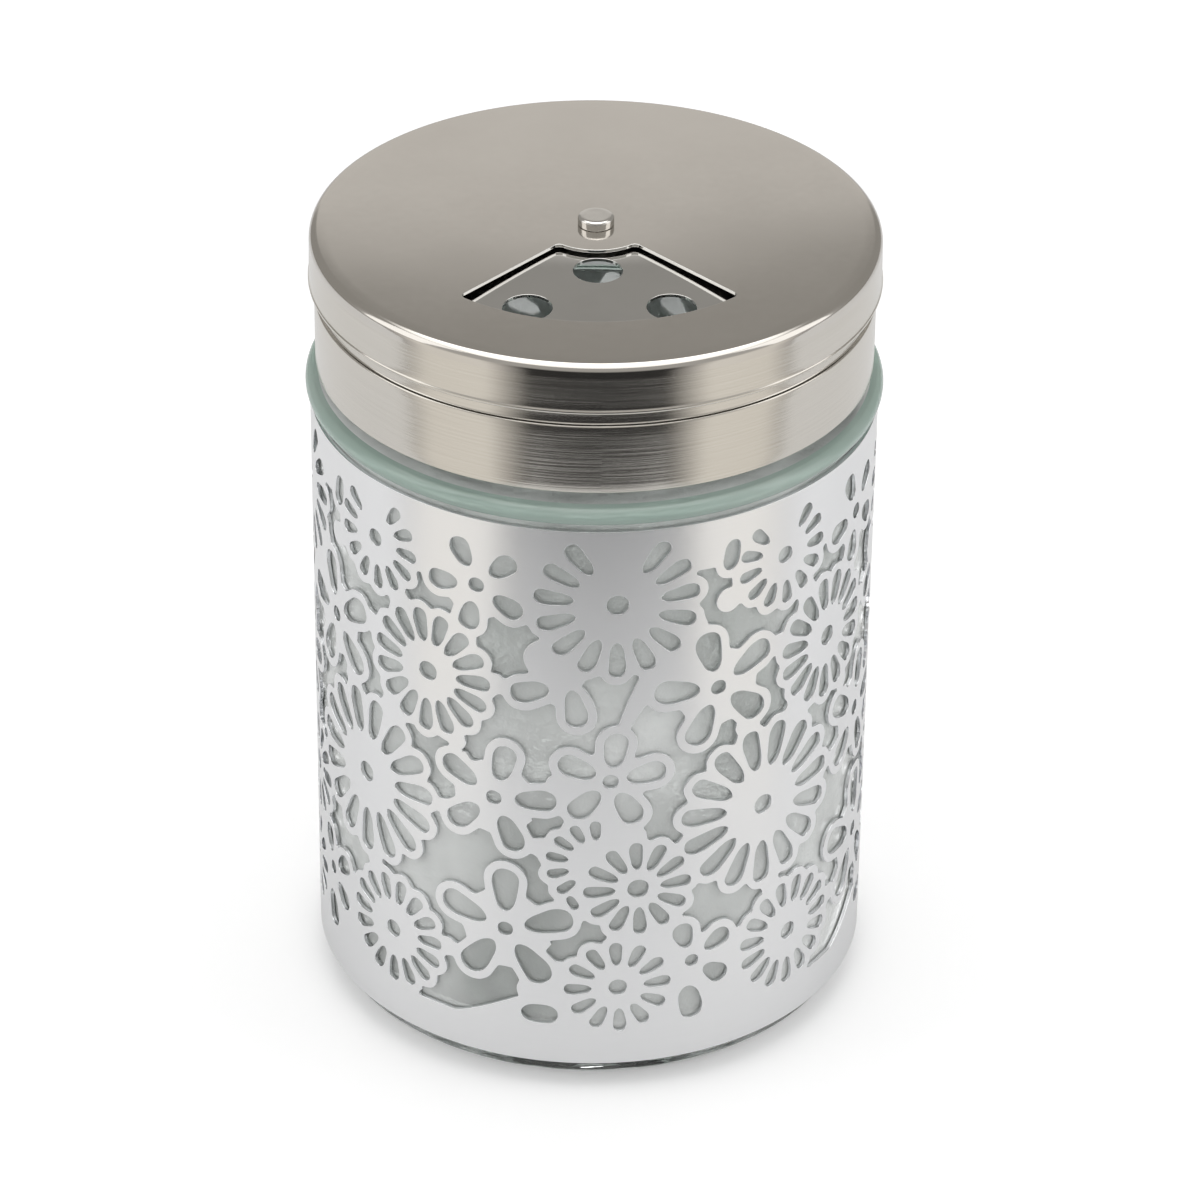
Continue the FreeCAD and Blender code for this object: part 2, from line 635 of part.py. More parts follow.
def petal_arcs(middle, angle, inner_reach, outer_reach, inner_end, outer_end):
    """Four tangent arcs of a petal: (centre, radius, first angle, last angle), running anticlockwise."""
    along = Vector(math.cos(angle), math.sin(angle), 0)
    low = middle + along * (inner_reach + inner_end)
    high = middle + along * (outer_reach - outer_end)
    gap = (high - low).Length
    curve = gap * side_curve_share + outer_end
    step = (gap ** 2 + (curve - inner_end) ** 2 - (curve - outer_end) ** 2) / (2 * gap)
    rise = math.sqrt((curve - inner_end) ** 2 - step ** 2)
    left = Vector(-along.y, along.x, 0)
    upper = low + along * step - left * rise
    lower = low + along * step + left * rise
    turns = []
    for centre in (upper, lower):
        for end in (low, high):
            way = end - centre
            turns.append(math.atan2(way.y, way.x))
    low_up, high_up, low_down, high_down = turns

    def after(first, last):
        while last <= first:
            last += 2 * math.pi
        return last

    return [
        (high, outer_end, high_down, after(high_down, high_up)),
        (upper, curve, high_up, after(high_up, low_up)),
        (low, inner_end, low_up, after(low_up, low_down)),
        (lower, curve, low_down, after(low_down, high_down)),
    ]


petal_run_counts = (3, 2, 2, 2)
eye_points = 6
largest_turn = math.radians(40)


def petal_outline(arcs):
    points = []
    for (centre, radius, first, last), count in zip(arcs, petal_run_counts):
        points += arc_run(centre, radius, first, last, count)
    return points


def petal_patch(arcs, rim):
    """Face of the metal round a petal: the same arcs, moved out by the rim."""
    edges = []
    for centre, radius, first, last in arcs:
        ring = Part.Circle(centre, Vector(0, 0, 1), radius + rim)
        edges.append(Part.ArcOfCircle(ring, first, last).toShape())
    return Part.Face(Part.Wire(edges))


def disc(centre, radius):
    circle = Part.Circle(centre, Vector(0, 0, 1), radius)
    return Part.Face(Part.Wire([circle.toShape()]))


def scalloped_disc(centre, reach, end, petals, first):
    """Face bounded by one arc round each petal end of a daisy."""
    ring = reach - end
    bump = end + size("flower_rim")
    half = math.pi / petals
    valley = ring * math.cos(half) + math.sqrt(max(bump ** 2 - (ring * math.sin(half)) ** 2, 0))
    edges = []
    for i in range(petals):
        angle = first + 2 * math.pi * i / petals
        spots = []
        for turn, far in ((angle - half, valley), (angle, ring + bump), (angle + half, valley)):
            spots.append(centre + Vector(math.cos(turn), math.sin(turn), 0) * far)
        edges.append(Part.Arc(*spots).toShape())
    return Part.Face(Part.Wire(edges))


flower_holes = []
metal_patches = []
rim = size("flower_rim")
for place, height, outer, inner, outer_end, inner_end, eye, petals, first, kept in daisy_shares:
    centre = on_drawing(place, height)
    start = math.radians(first)
    if eye > 0:
        flower_holes.append(arc_run(centre, part_of_span(eye), 0, 2 * math.pi, eye_points))
    for i in range(kept):
        arcs = petal_arcs(centre, start + 2 * math.pi * i / petals, part_of_span(inner),
                          part_of_span(outer), part_of_span(inner_end), part_of_span(outer_end))
        flower_holes.append(petal_outline(arcs))
    reach = part_of_span(outer)
    metal_patches.append(scalloped_disc(centre, reach, part_of_span(outer_end), petals, start))
for place, height, outer, inner, outer_end, inner_end, eye, first, kept in blossom_shares:
    centre = on_drawing(place, height)
    flower_holes.append(arc_run(centre, part_of_span(eye), 0, 2 * math.pi, eye_points))
    metal_patches.append(disc(centre, (part_of_span(outer) + part_of_span(inner)) / 2))
    for i in range(5):
        arcs = petal_arcs(centre, math.radians(first) + 2 * math.pi * i / 5, part_of_span(inner),
                          part_of_span(outer), part_of_span(inner_end), part_of_span(outer_end))
        if i < kept:
            flower_holes.append(petal_outline(arcs))
            metal_patches.append(petal_patch(arcs, rim))
for place, height, half_length, outer_end, inner_end, angle in leaf_shares:
    centre = on_drawing(place, height)
    arcs = petal_arcs(centre, math.radians(angle), -part_of_span(half_length), part_of_span(half_length),
                      part_of_span(inner_end), part_of_span(outer_end))
    flower_holes.append(petal_outline(arcs))
    metal_patches.append(petal_patch(arcs, rim))
for place, height, radius in plain_shares:
    metal_patches.append(disc(on_drawing(place, height), part_of_span(radius)))
for place, height, half_length, half_width, angle in bar_shares:
    arcs = petal_arcs(on_drawing(place, height), math.radians(angle), -part_of_span(half_length),
                      part_of_span(half_length), part_of_span(half_width), part_of_span(half_width))
    metal_patches.append(petal_patch(arcs, 0))

# Gaps between the flowers: a panel one repeat wide and half a repeat more on each side, less the flowers
tools = []
for patch in metal_patches:
    for shift in (-1, 0, 1):
        copy = patch.copy()
        copy.translate(Vector(drawn_width * shift, 0, 0))
        tools.append(copy)
low_corner = on_drawing(-1.0, gap_limit_shares[0])
high_corner = on_drawing(1.0, gap_limit_shares[1])
panel = Part.makePlane(high_corner.x - low_corner.x, high_corner.y - low_corner.y, low_corner)
pieces = panel.cut(tools)


def too_narrow(face):
    return 2 * face.Area / face.OuterWire.Length < size("smallest_gap_width")


def held_pieces(face):
    """The face, cut by an upright bar through any metal that it surrounds, so that nothing falls out."""
    bars = []
    for wire in face.Wires:
        if not wire.isSame(face.OuterWire):
            corner = Vector(wire.BoundBox.Center.x - rim / 2, low_corner.y, 0)
            bars.append(Part.makePlane(rim, high_corner.y - low_corner.y, corner))
    return face.cut(bars).Faces if bars else [face]


gap_faces = []
for face in pieces.Faces:
    middle = face.CenterOfMass
    if -drawn_width / 2 <= middle.x < drawn_width / 2 and not too_narrow(face):
        gap_faces += held_pieces(face)
if any(len(face.Wires) > 1 for face in gap_faces):
    raise ValueError("a flower would fall out of the sleeve")


def rounded_pieces(face):
    """The face with its corners rounded, without parts too narrow to etch."""
    shrunk = face.makeOffset2D(-size("gap_corner_round"), 0)
    kept_pieces = []
    for core in shrunk.Faces:
        for piece in core.makeOffset2D(size("gap_corner_round"), 0).Faces:
            if not too_narrow(piece):
                kept_pieces.append(piece)
    return kept_pieces


# The blank runs from seam to seam; the seam is behind the jar, where it crosses the fewest openings
seam_share = 2.435
blank_start = (seam_share - repeats) * repeat_width
blank_end = seam_share * repeat_width
clear_start = blank_start + size("seam_strip") / 2
clear_end = blank_end - size("seam_strip") / 2


def on_sleeve(point, radius):
    """Wrap a point of the flat blank, with the seam at angle zero."""
    angle = (point.x - blank_start) / size("sleeve_outer_radius")
    return Vector(radius * math.cos(angle), radius * math.sin(angle), point.y)


def run_lengths(points):
    lengths = [0.0]
    loop = points + points[:1]
    for before, after in zip(loop, loop[1:]):
        lengths.append(lengths[-1] + (after - before).Length)
    return lengths


def wrapped_ring(points, radius):
    """Wire on the sleeve for one opening: a closed smooth curve."""
    curve = Part.BSplineCurve()
    spots = [on_sleeve(point, radius) for point in points]
    curve.interpolate(Points=spots, PeriodicFlag=True, Parameters=run_lengths(points))
    return Part.Wire([curve.toShape()])


def outline_points(face):
    """Points round a face: arcs by the angle they turn through, other edges by their length."""
    points = []
    for edge in face.OuterWire.OrderedEdges:
        pieces = edge.Length / size("curve_step")
        if isinstance(edge.Curve, Part.Circle):
            pieces = (edge.LastParameter - edge.FirstParameter) / largest_turn
        run = edge.discretize(Number=max(2, math.ceil(pieces) + 1))
        if edge.Orientation == "Reversed":
            run.reverse()
        points += run[:-1]
    return points


# Every opening of the blank, each as points round its outline
openings = []
drawn_start = clear_start / stretch
drawn_end = clear_end / stretch
clear_panel = Part.makePlane(drawn_end - drawn_start, high_corner.y - low_corner.y,
                             Vector(drawn_start, low_corner.y, 0))
for k in range(-repeats // 2, repeats // 2 + 1):
    shift = Vector(drawn_width * k, 0, 0)
    for points in flower_holes:
        moved = [point + shift for point in points]
        if min(p.x for p in moved) > drawn_start and max(p.x for p in moved) < drawn_end:
            openings.append(moved)
    for face in gap_faces:
        moved = face.copy()
        moved.translate(shift)
        box = moved.BoundBox
        if box.XMin > drawn_start and box.XMax < drawn_end:
            parts = [moved]
        else:
            parts = moved.common(clear_panel).Faces
        for piece in parts:
            if too_narrow(piece):
                continue
            for rounded in rounded_pieces(piece):
                openings.append(outline_points(rounded))
openings = [[Vector(point.x * stretch, point.y, 0) for point in points] for points in openings]


# Both skins are made in panels, whose borders run up through the metal between the openings
step = size("line_step")
columns = round(repeat_width / step)
rows = math.ceil(size("sleeve_top - sleeve_bottom") / step)
reach = math.ceil(2 * size("line_room") / step)
steepest = 3


def filled_cells():
    """Cells of one repeat that are too close to an opening."""
    cells = set()
    for points in openings:
        if not 0 <= points[0].x < repeat_width:
            continue
        curve = Part.BSplineCurve()
        curve.interpolate(Points=points, PeriodicFlag=True)
        for point in curve.toShape().discretize(Distance=step):
            column = round(point.x / step)
            row = round((point.y - size("sleeve_bottom")) / step)
            for right in range(-reach, reach + 1):
                for up in range(-reach, reach + 1):
                    place = Vector((column + right) * step, size("sleeve_bottom") + (row + up) * step, 0)
                    if (place - point).Length < size("line_room"):
                        cells.add(((column + right) % columns, row + up))
    return cells


def climb(filled, left, right):
    """Cheapest way up between two columns for each row, or nothing where there is no way."""
    def free(column, row):
        return (column % columns, row) not in filled

    costs = {c: abs(2 * c - left[0] - right[0]) for c in range(left[0], right[0]) if free(c, 0)}
    origins = []
    for row in range(1, rows + 1):
        new_costs = {}
        origin = {}
        for column in range(left[row], right[row]):
            if not free(column, row):
                continue
            for side in range(-steepest, steepest + 1):
                before = column - side
                if before not in costs:
                    continue
                between = range(min(before, column), max(before, column) + 1)
                if not all(free(c, row) and free(c, row - 1) for c in between):
                    continue
                cost = costs[before] + abs(side)
                if cost < new_costs.get(column, math.inf):
                    new_costs[column] = cost
                    origin[column] = before
        costs = new_costs
        origins.append(origin)
    if not costs:
        return None
    way = [min(costs, key=costs.get)]
    for origin in reversed(origins):
        way.append(origin[way[-1]])
    return way[::-1]


def straightened(filled, way):
    """Corners of a way: each straight run goes on for as long as it stays in the metal."""
    def clear(first, last):
        for row in range(first, last + 1):
            for part in (0, 0.5):
                share = min((row - first + part) / (last - first), 1)
                column = way[first] + (way[last] - way[first]) * share
                if (round(column) % columns, row) in filled:
                    return False
        return abs(way[last] - way[first]) <= steepest * (last - first)

    corners = [0]
    while corners[-1] < rows:
        last = corners[-1] + 1
        for row in range(corners[-1] + 2, rows + 1):
            if clear(corners[-1], row):
                last = row
        corners.append(last)
    return corners


def panel_ways():
    """Ways up through one repeat, each new one between two that are there."""
    filled = filled_cells()
    first = climb(filled, [0] * (rows + 1), [2 * columns] * (rows + 1))
    if first is None:
        return filled, []
    ways = [first, [column + columns for column in first]]
    for halving in range(panel_halvings):
        for low, high in list(zip(ways, ways[1:])):
            way = climb(filled, [c + reach for c in low], [c - reach for c in high])
            if way:
                ways.insert(ways.index(high), way)
    return filled, ways[:-1]


def panel_sides():
    filled, ways = panel_ways()
    found = []
    for shift in range(-repeats, repeats):
        for way in ways:
            side = []
            for row in straightened(filled, way):
                height = min(size("sleeve_bottom") + row * step, size("sleeve_top"))
                side.append(Vector((way[row] + shift * columns) * repeat_width / columns, height, 0))
            if min(p.x for p in side) > clear_start and max(p.x for p in side) < clear_end:
                found.append(side)
    return found


def straight_side(place):
    return [Vector(place, size("sleeve_bottom"), 0), Vector(place, size("sleeve_top"), 0)]


def place_on_side(side, height):
    """Where a side is at a height of the blank."""
    for low, high in zip(side, side[1:]):
        if height <= high.y:
            break
    return low.x + (high.x - low.x) * (height - low.y) / (high.y - low.y)


def side_edges(side, radius):
    edges = []
    for low, high in zip(side, side[1:]):
        ends = [on_sleeve(low, radius), on_sleeve(high, radius)]
        if low.x == high.x:
            edges.append(Part.makeLine(*ends))
            continue
        curve = Part.BSplineCurve()
        curve.interpolate([ends[0], on_sleeve((low + high) / 2, radius), ends[1]])
        edges.append(curve.toShape())
    return edges


def hoop_edge(first, last, height_name, radius):
    """Arc of the bottom or top edge between two places on the blank."""
    turns = [math.degrees((place - blank_start) / size("sleeve_outer_radius")) for place in (first, last)]
    return Part.makeCircle(radius, Vector(0, 0, size(height_name)), Vector(0, 0, 1), *turns)


sides = [straight_side(blank_start + size("seam_gap") / 2)]
sides += panel_sides()
sides.append(straight_side(blank_end - size("seam_gap") / 2))
panels = [[] for side in sides[1:]]
for points in openings:
    passed = 0
    while place_on_side(sides[passed + 1], points[0].y) < points[0].x:
        passed += 1
    panels[passed].append(points)


def sleeve_face(radius, border, rings):
    surface = Part.Cylinder()
    surface.Radius = radius
    face = Part.Face(surface, border)
    face.cutHoles(rings)
    face.validate()
    return face


outside = size("sleeve_outer_radius")
inside = size("sleeve_outer_radius - sleeve_sheet")
skins = []
open_edges = {outside: [], inside: []}
for radius in (outside, inside):
    runs = [side_edges(side, radius) for side in sides]
    open_edges[radius] += runs[0] + runs[-1]
    for i, panel in enumerate(panels):
        left, right = sides[i], sides[i + 1]
        floor = hoop_edge(left[0].x, right[0].x, "sleeve_bottom", radius)
        roof = hoop_edge(left[-1].x, right[-1].x, "sleeve_top", radius)
        border = Part.Wire([floor] + runs[i + 1] + [roof] + runs[i][::-1])
        rings = [wrapped_ring(points, radius) for points in panel]
        skins.append(sleeve_face(radius, border, rings))
        open_edges[radius] += [floor, roof] + [ring.Edges[0] for ring in rings]
for outer_edge, inner_edge in zip(open_edges[outside], open_edges[inside]):
    skins.append(Part.makeRuledSurface(outer_edge, inner_edge))
sleeve_solid = Part.Solid(Part.Shell(skins))
if sleeve_solid.Volume < 0:
    sleeve_solid.reverse()
floral_sleeve = doc.addObject("Part::Feature", "floral_sleeve")
floral_sleeve.Label = "floral_sleeve"
floral_sleeve.Shape = sleeve_solid
seam_turn = FreeCAD.Rotation(Vector(0, 0, 1), seam_share * tile - 90)
floral_sleeve.Placement = FreeCAD.Placement(Vector(0, 0, 0), seam_turn)
doc.recompute()

# Check every object, then write the solids
for item in doc.Objects:
    if "Invalid" in item.State or "Error" in item.State:
        raise ValueError(item.Name + " is in a bad state")
nodes = [glass_jar, floral_sleeve, screw_cap, thread_insert, sealing_ring, shaker_dial,
         pivot_rivet, friction_washer, backing_washer]
for node in nodes:
    shape = node.Shape
    if shape.isNull() or not shape.isValid() or len(shape.Solids) != 1:
        raise ValueError(node.Label + " is not one sound solid")
    shape.exportStep("parts/" + node.Label + ".step")
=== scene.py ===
import math

import bmesh
import bpy
import numpy as np
from mathutils import Matrix, Vector
from mathutils.geometry import delaunay_2d_cdt


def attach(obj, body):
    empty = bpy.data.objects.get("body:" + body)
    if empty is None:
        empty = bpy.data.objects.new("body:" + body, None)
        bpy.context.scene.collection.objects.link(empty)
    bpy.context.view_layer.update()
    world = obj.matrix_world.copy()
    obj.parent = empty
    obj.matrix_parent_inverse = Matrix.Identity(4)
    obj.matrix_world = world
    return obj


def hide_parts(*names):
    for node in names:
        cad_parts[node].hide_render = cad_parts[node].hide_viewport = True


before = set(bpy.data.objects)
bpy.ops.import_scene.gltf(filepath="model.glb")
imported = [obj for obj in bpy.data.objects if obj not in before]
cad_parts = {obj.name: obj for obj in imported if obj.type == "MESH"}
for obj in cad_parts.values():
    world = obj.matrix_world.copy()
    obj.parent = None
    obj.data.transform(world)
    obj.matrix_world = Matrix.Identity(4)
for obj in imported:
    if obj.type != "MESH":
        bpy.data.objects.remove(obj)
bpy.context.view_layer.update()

# The part's lengths are in millimetres, turned into metres when a mesh is made.
# The lengths of finishes, floor, lamps and camera are in metres.
METRE = 0.001
ROUND_STEPS = 360
CORNER_STEPS = 8
ARC_SPACING = 0.5
FEWEST_POINTS = 12
RING_START = 2.6
RING_SPACING = 1.4
RIM_ROOM = 0.5
ON_AXIS = 0.01
TINY = 1e-9

# Places in the material list of every pierced sheet
OUTER_FACE = 0
INNER_FACE = 1
RIM = 2
SKIRT = 3


def unit(rows):
    """Each row brought to length one."""
    return rows / np.maximum(np.linalg.norm(rows, axis=1, keepdims=True), TINY)


# Outlines in the (r, z) half plane and in the flat
def arc(centre_r, centre_z, radius, start, end, steps):
    """Points of an arc, angles in degrees from +r towards +z."""
    points = []
    for i in range(steps + 1):
        angle = math.radians(start + (end - start) * i / steps)
        points.append((centre_r + radius * math.cos(angle), centre_z + radius * math.sin(angle)))
    return points


def line(start, end, steps):
    """Points of a straight piece without its first point."""
    points = []
    for i in range(1, steps + 1):
        share = i / steps
        points.append((start[0] + (end[0] - start[0]) * share, start[1] + (end[1] - start[1]) * share))
    return points


def circle_loop(x, y, radius, steps):
    """A closed circle of evenly spaced points."""
    turns = np.linspace(0.0, 2.0 * math.pi, steps, endpoint=False)
    return np.column_stack([x + radius * np.cos(turns), y + radius * np.sin(turns)])


def on_ring(radius, azimuth):
    """The place at an azimuth from the front (-Y), positive towards +X."""
    angle = math.radians(azimuth)
    return radius * math.sin(angle), -radius * math.cos(angle)


def sector_loop(inner, outer, half_angle, corner, azimuth):
    """A ring sector with rounded corners, middle at the azimuth."""
    half = math.radians(half_angle)
    points = []

    def corner_arc(middle_radius, middle_angle, start, end):
        for i in range(CORNER_STEPS + 1):
            turn = start + (end - start) * i / CORNER_STEPS
            x = middle_radius * math.cos(middle_angle) + corner * math.cos(turn)
            y = middle_radius * math.sin(middle_angle) + corner * math.sin(turn)
            points.append((x, y))

    far = outer - corner
    near = inner + corner
    far_side = math.asin(corner / far)
    near_side = math.asin(corner / near)
    quarter = math.pi / 2
    corner_arc(far, -half + far_side, -half - quarter, -half + far_side)
    steps = max(CORNER_STEPS, int(outer * 2 * half / ARC_SPACING))
    for i in range(1, steps):
        turn = -half + far_side + 2 * (half - far_side) * i / steps
        points.append((outer * math.cos(turn), outer * math.sin(turn)))
    corner_arc(far, half - far_side, half - far_side, half + quarter)
    corner_arc(near, half - near_side, half + quarter, half - near_side + math.pi)
    steps = max(CORNER_STEPS, int(inner * 2 * half / ARC_SPACING))
    for i in range(1, steps):
        turn = half - near_side - 2 * (half - near_side) * i / steps
        points.append((inner * math.cos(turn), inner * math.sin(turn)))
    corner_arc(near, -half + near_side, -half + near_side - math.pi, -half - quarter)
    turned = math.radians(azimuth - 90.0)
    spin = np.array([[math.cos(turned), math.sin(turned)], [-math.sin(turned), math.cos(turned)]])
    return np.array(points) @ spin


def counter_clockwise(loop):
    """The loop, turned round if it runs clockwise."""
    x, y = loop[:, 0], loop[:, 1]
    area = np.sum(x * np.roll(y, -1) - np.roll(x, -1) * y)
    return loop if area > 0 else loop[::-1]


def even_spacing(loop, step):
    """The same closed outline with points spaced evenly."""
    closed = np.vstack([loop, loop[:1]])
    lengths = np.linalg.norm(np.diff(closed, axis=0), axis=1)
    along = np.concatenate([[0.0], np.cumsum(lengths)])
    count = max(FEWEST_POINTS, int(round(along[-1] / step)))
    marks = np.linspace(0.0, along[-1], count, endpoint=False)
    return np.column_stack([np.interp(marks, along, closed[:, i]) for i in range(2)])


def inside(points, loop):
    """Which of the points lie inside the loop."""
    result = np.zeros(len(points), bool)
    low, high = loop.min(axis=0), loop.max(axis=0)
    near = np.all((points > low) & (points < high), axis=1)
    where = np.nonzero(near)[0]
    if len(where) == 0:
        return result
    px, py = points[where, 0][:, None], points[where, 1][:, None]
    ax, ay = loop[:, 0][None], loop[:, 1][None]
    bx, by = np.roll(ax, -1), np.roll(ay, -1)
    spans = (ay > py) != (by > py)
    rise = np.where(by == ay, 1.0, by - ay)
    crosses = spans & (px < (bx - ax) * (py - ay) / rise + ax)
    result[where] = crosses.sum(axis=1) % 2 == 1
    return result


# Mesh makers
def make_piece(name, points, faces, normals, materials, face_slots):
    """A smooth mesh with its own normals and a material for each face."""
    mesh = bpy.data.meshes.new(name)
    mesh.from_pydata((np.asarray(points) * METRE).tolist(), [], faces)
    mesh.polygons.foreach_set("use_smooth", np.ones(len(mesh.polygons), bool))
    for material in materials:
        mesh.materials.append(material)
    mesh.polygons.foreach_set("material_index", np.asarray(face_slots, dtype=np.int32))
    mesh.normals_split_custom_set_from_vertices(unit(normals).tolist())
    piece = bpy.data.objects.new(name, mesh)
    bpy.context.scene.collection.objects.link(piece)
    return piece


def profile_normals(profile):
    """Normals to the right of the walking direction, smooth along the outline."""
    steps = unit(np.diff(np.array(profile), axis=0))
    first = np.vstack([steps[:1], steps])
    last = np.vstack([steps, steps[-1:]])
    mean = first + last
    return np.column_stack([mean[:, 1], -mean[:, 0]])


def lathe(name, profile, materials, slot_at, swell, steps):
    """Turns an outline about Z; slot_at(r, z) gives the material of the band after a point."""
    shape = np.array(profile)
    turns = np.linspace(0.0, 2.0 * math.pi, steps, endpoint=False)
    sines, cosines = np.sin(turns), -np.cos(turns)
    radii = np.repeat(shape[:, 0][:, None], steps, axis=1)
    if swell is not None:
        radii = radii + swell(turns[None, :], shape[:, 0][:, None], shape[:, 1][:, None])
    heights = np.repeat(shape[:, 1][:, None], steps, axis=1)
    grid = np.stack([radii * sines, radii * cosines, heights], axis=2)
    flat = unit(profile_normals(profile))
    if swell is None:
        outward = flat[:, 0][:, None]
        upward = np.repeat(flat[:, 1][:, None], steps, axis=1)
        normals = np.stack([outward * sines, outward * cosines, upward], axis=2)
    else:
        along = np.gradient(grid, axis=0)
        around = np.roll(grid, -1, axis=1) - np.roll(grid, 1, axis=1)
        normals = np.cross(around, along)
        on_axis = shape[:, 0] < ON_AXIS
        normals[on_axis] = np.array([0.0, 0.0, 1.0]) * np.sign(flat[on_axis, 1])[:, None, None]
    faces = []
    face_slots = []
    rows = len(shape)
    for k in range(rows - 1):
        slot = slot_at(shape[k, 0], shape[k, 1])
        low, high = k * steps, (k + 1) * steps
        for j in range(steps):
            after = (j + 1) % steps
            faces.append((low + j, low + after, high + after, high + j))
            face_slots.append(slot)
    points = grid.reshape(-1, 3)
    return make_piece(name, points, faces, normals.reshape(-1, 3), materials, face_slots)


def into_metal(loop, border):
    """Unit directions in the flat from each outline point into the sheet."""
    step = unit(np.roll(loop, -1, axis=0) - loop)
    outward = np.column_stack([step[:, 1], -step[:, 0]])
    mean = unit(outward + np.roll(outward, 1, axis=0))
    return -mean if border else mean


def rolled_rim(loop, border, place, normal, thickness, rounding):
    """Rings of a rim with both edges rounded, from the outer face to the inner one."""
    direction = into_metal(loop, border)
    reach = 0.01
    rings = []
    for side in (1, -1):
        angles = (0, 30, 60, 90) if side == 1 else (90, 60, 30, 0)
        for angle in angles:
            turn = math.radians(angle)
            back = rounding * (1 - math.sin(turn))
            sunk = rounding * (1 - math.cos(turn))
            depth = sunk if side == 1 else thickness - sunk
            flat = loop + direction * back
            points = place(flat, depth)
            inward = unit(place(flat + direction * reach, depth) - points)
            tilt = side * math.cos(turn) * normal(flat) - math.sin(turn) * inward
            rings.append((points, tilt))
    return loop + direction * rounding, rings


def pierced_sheet(name, rims, grid, place, normal, thickness, materials, rim_slots):
    """A sheet with holes: two faces from one flat triangulation, joined by the rims."""
    flat_points = []
    flat_edges = []
    starts = []
    for flat, rings in rims:
        first = len(flat_points)
        starts.append(first)
        flat_points.extend(flat.tolist())
        count = len(flat)
        flat_edges.extend((first + i, first + (i + 1) % count) for i in range(count))
    rim_total = len(flat_points)
    flat_points.extend(grid.tolist())
    closeness = 1e-5
    answer = delaunay_2d_cdt(flat_points, flat_edges, [], 1, closeness)
    corners, sources = answer[2], answer[3]
    source = np.array([names[0] if names else -1 for names in sources])
    triangles = source[np.array(corners)]
    owner = np.full(len(flat_points), -1)
    for number, (start, (flat, rings)) in enumerate(zip(starts, rims)):
        owner[start : start + len(flat)] = number
    owners = owner[triangles]
    middles = np.array(flat_points)[triangles].mean(axis=1)
    keep = triangles.min(axis=1) >= 0
    one_rim = (owners[:, 0] == owners[:, 1]) & (owners[:, 0] == owners[:, 2])
    for number, (flat, rings) in enumerate(rims):
        if number > 0:
            asked = np.nonzero(one_rim & (owners[:, 0] == number))[0]
            keep[asked[inside(middles[asked], flat)]] = False
    triangles = triangles[keep].tolist()

    points = []
    normals = []
    ring_places = []
    for flat, rings in rims:
        places = []
        for ring_points, ring_normals in rings:
            places.append(len(points))
            points.extend(ring_points.tolist())
            normals.extend(ring_normals.tolist())
        ring_places.append(places)
    outer_of = {}
    inner_of = {}
    for start, places, (flat, rings) in zip(starts, ring_places, rims):
        for i in range(len(flat)):
            outer_of[start + i] = places[0] + i
            inner_of[start + i] = places[-1] + i
    if len(grid):
        outer_points = place(grid, 0.0)
        inner_points = place(grid, thickness)
        tilt = normal(grid)
        for i in range(len(grid)):
            outer_of[rim_total + i] = len(points) + i
            inner_of[rim_total + i] = len(points) + len(grid) + i
        points.extend(outer_points.tolist())
        points.extend(inner_points.tolist())
        normals.extend(tilt.tolist())
        normals.extend((-tilt).tolist())

    points = np.array(points)
    normals = np.array(normals)
    faces = []
    face_slots = []
    for triangle in triangles:
        outer = [outer_of[i] for i in triangle]
        inner = [inner_of[i] for i in triangle]
        a, b, c = points[outer]
        if np.dot(np.cross(b - a, c - a), normals[outer[0]]) < 0:
            outer.reverse()
            inner.reverse()
        faces.append(tuple(outer))
        face_slots.append(OUTER_FACE)
        faces.append(tuple(reversed(inner)))
        face_slots.append(INNER_FACE)
    for (flat, rings), places, slots in zip(rims, ring_places, rim_slots):
        count = len(flat)
        for k in range(len(places) - 1):
            slot = slots[k] if isinstance(slots, (list, tuple)) else slots
            first, second = places[k], places[k + 1]
            a, b, c = points[first], points[first + 1], points[second]
            lean = normals[first] + normals[second]
            flip = np.dot(np.cross(b - a, c - a), lean) < 0
            for i in range(count):
                after = (i + 1) % count
                face = (first + i, first + after, second + after, second + i)
                faces.append(face[::-1] if flip else face)
                face_slots.append(slot)
    return make_piece(name, points, faces, normals, materials, face_slots)


# Materials
NOISE_LOW = 0.3
NOISE_HIGH = 0.7
GLASS_BENDING = 1.5
MIST_CLEAREST = 0.65
MIST_DENSEST = 0.15
QUARTER_TURN = 0.25


def new_material(name):
    """An empty finish, with its nodes, links and shader."""
    material = bpy.data.materials.new(name)
    material.use_nodes = True
    nodes = material.node_tree.nodes
    shader = nodes["Principled BSDF"]
    return material, nodes, material.node_tree.links, shader


def object_place(nodes, links, scale=(1, 1, 1)):
    """Object coordinates stretched by a scale, for the textures."""
    place = nodes.new("ShaderNodeTexCoord")
    stretch = nodes.new("ShaderNodeMapping")
    stretch.inputs["Scale"].default_value = scale
    links.new(place.outputs["Object"], stretch.inputs["Vector"])
    return stretch.outputs["Vector"]


def noise(nodes, links, vector, scale, detail, rough=0.5):
    """A soft noise between zero and one."""
    texture = nodes.new("ShaderNodeTexNoise")
    texture.inputs["Scale"].default_value = scale
    texture.inputs["Detail"].default_value = detail
    texture.inputs["Roughness"].default_value = rough
    links.new(vector, texture.inputs["Vector"])
    return texture.outputs["Fac"]


def ranged(nodes, links, value, low, high, out_low, out_high):
    """A value moved from one range to another."""
    step = nodes.new("ShaderNodeMapRange")
    step.inputs["From Min"].default_value = low
    step.inputs["From Max"].default_value = high
    step.inputs["To Min"].default_value = out_low
    step.inputs["To Max"].default_value = out_high
    links.new(value, step.inputs["Value"])
    return step.outputs["Result"]


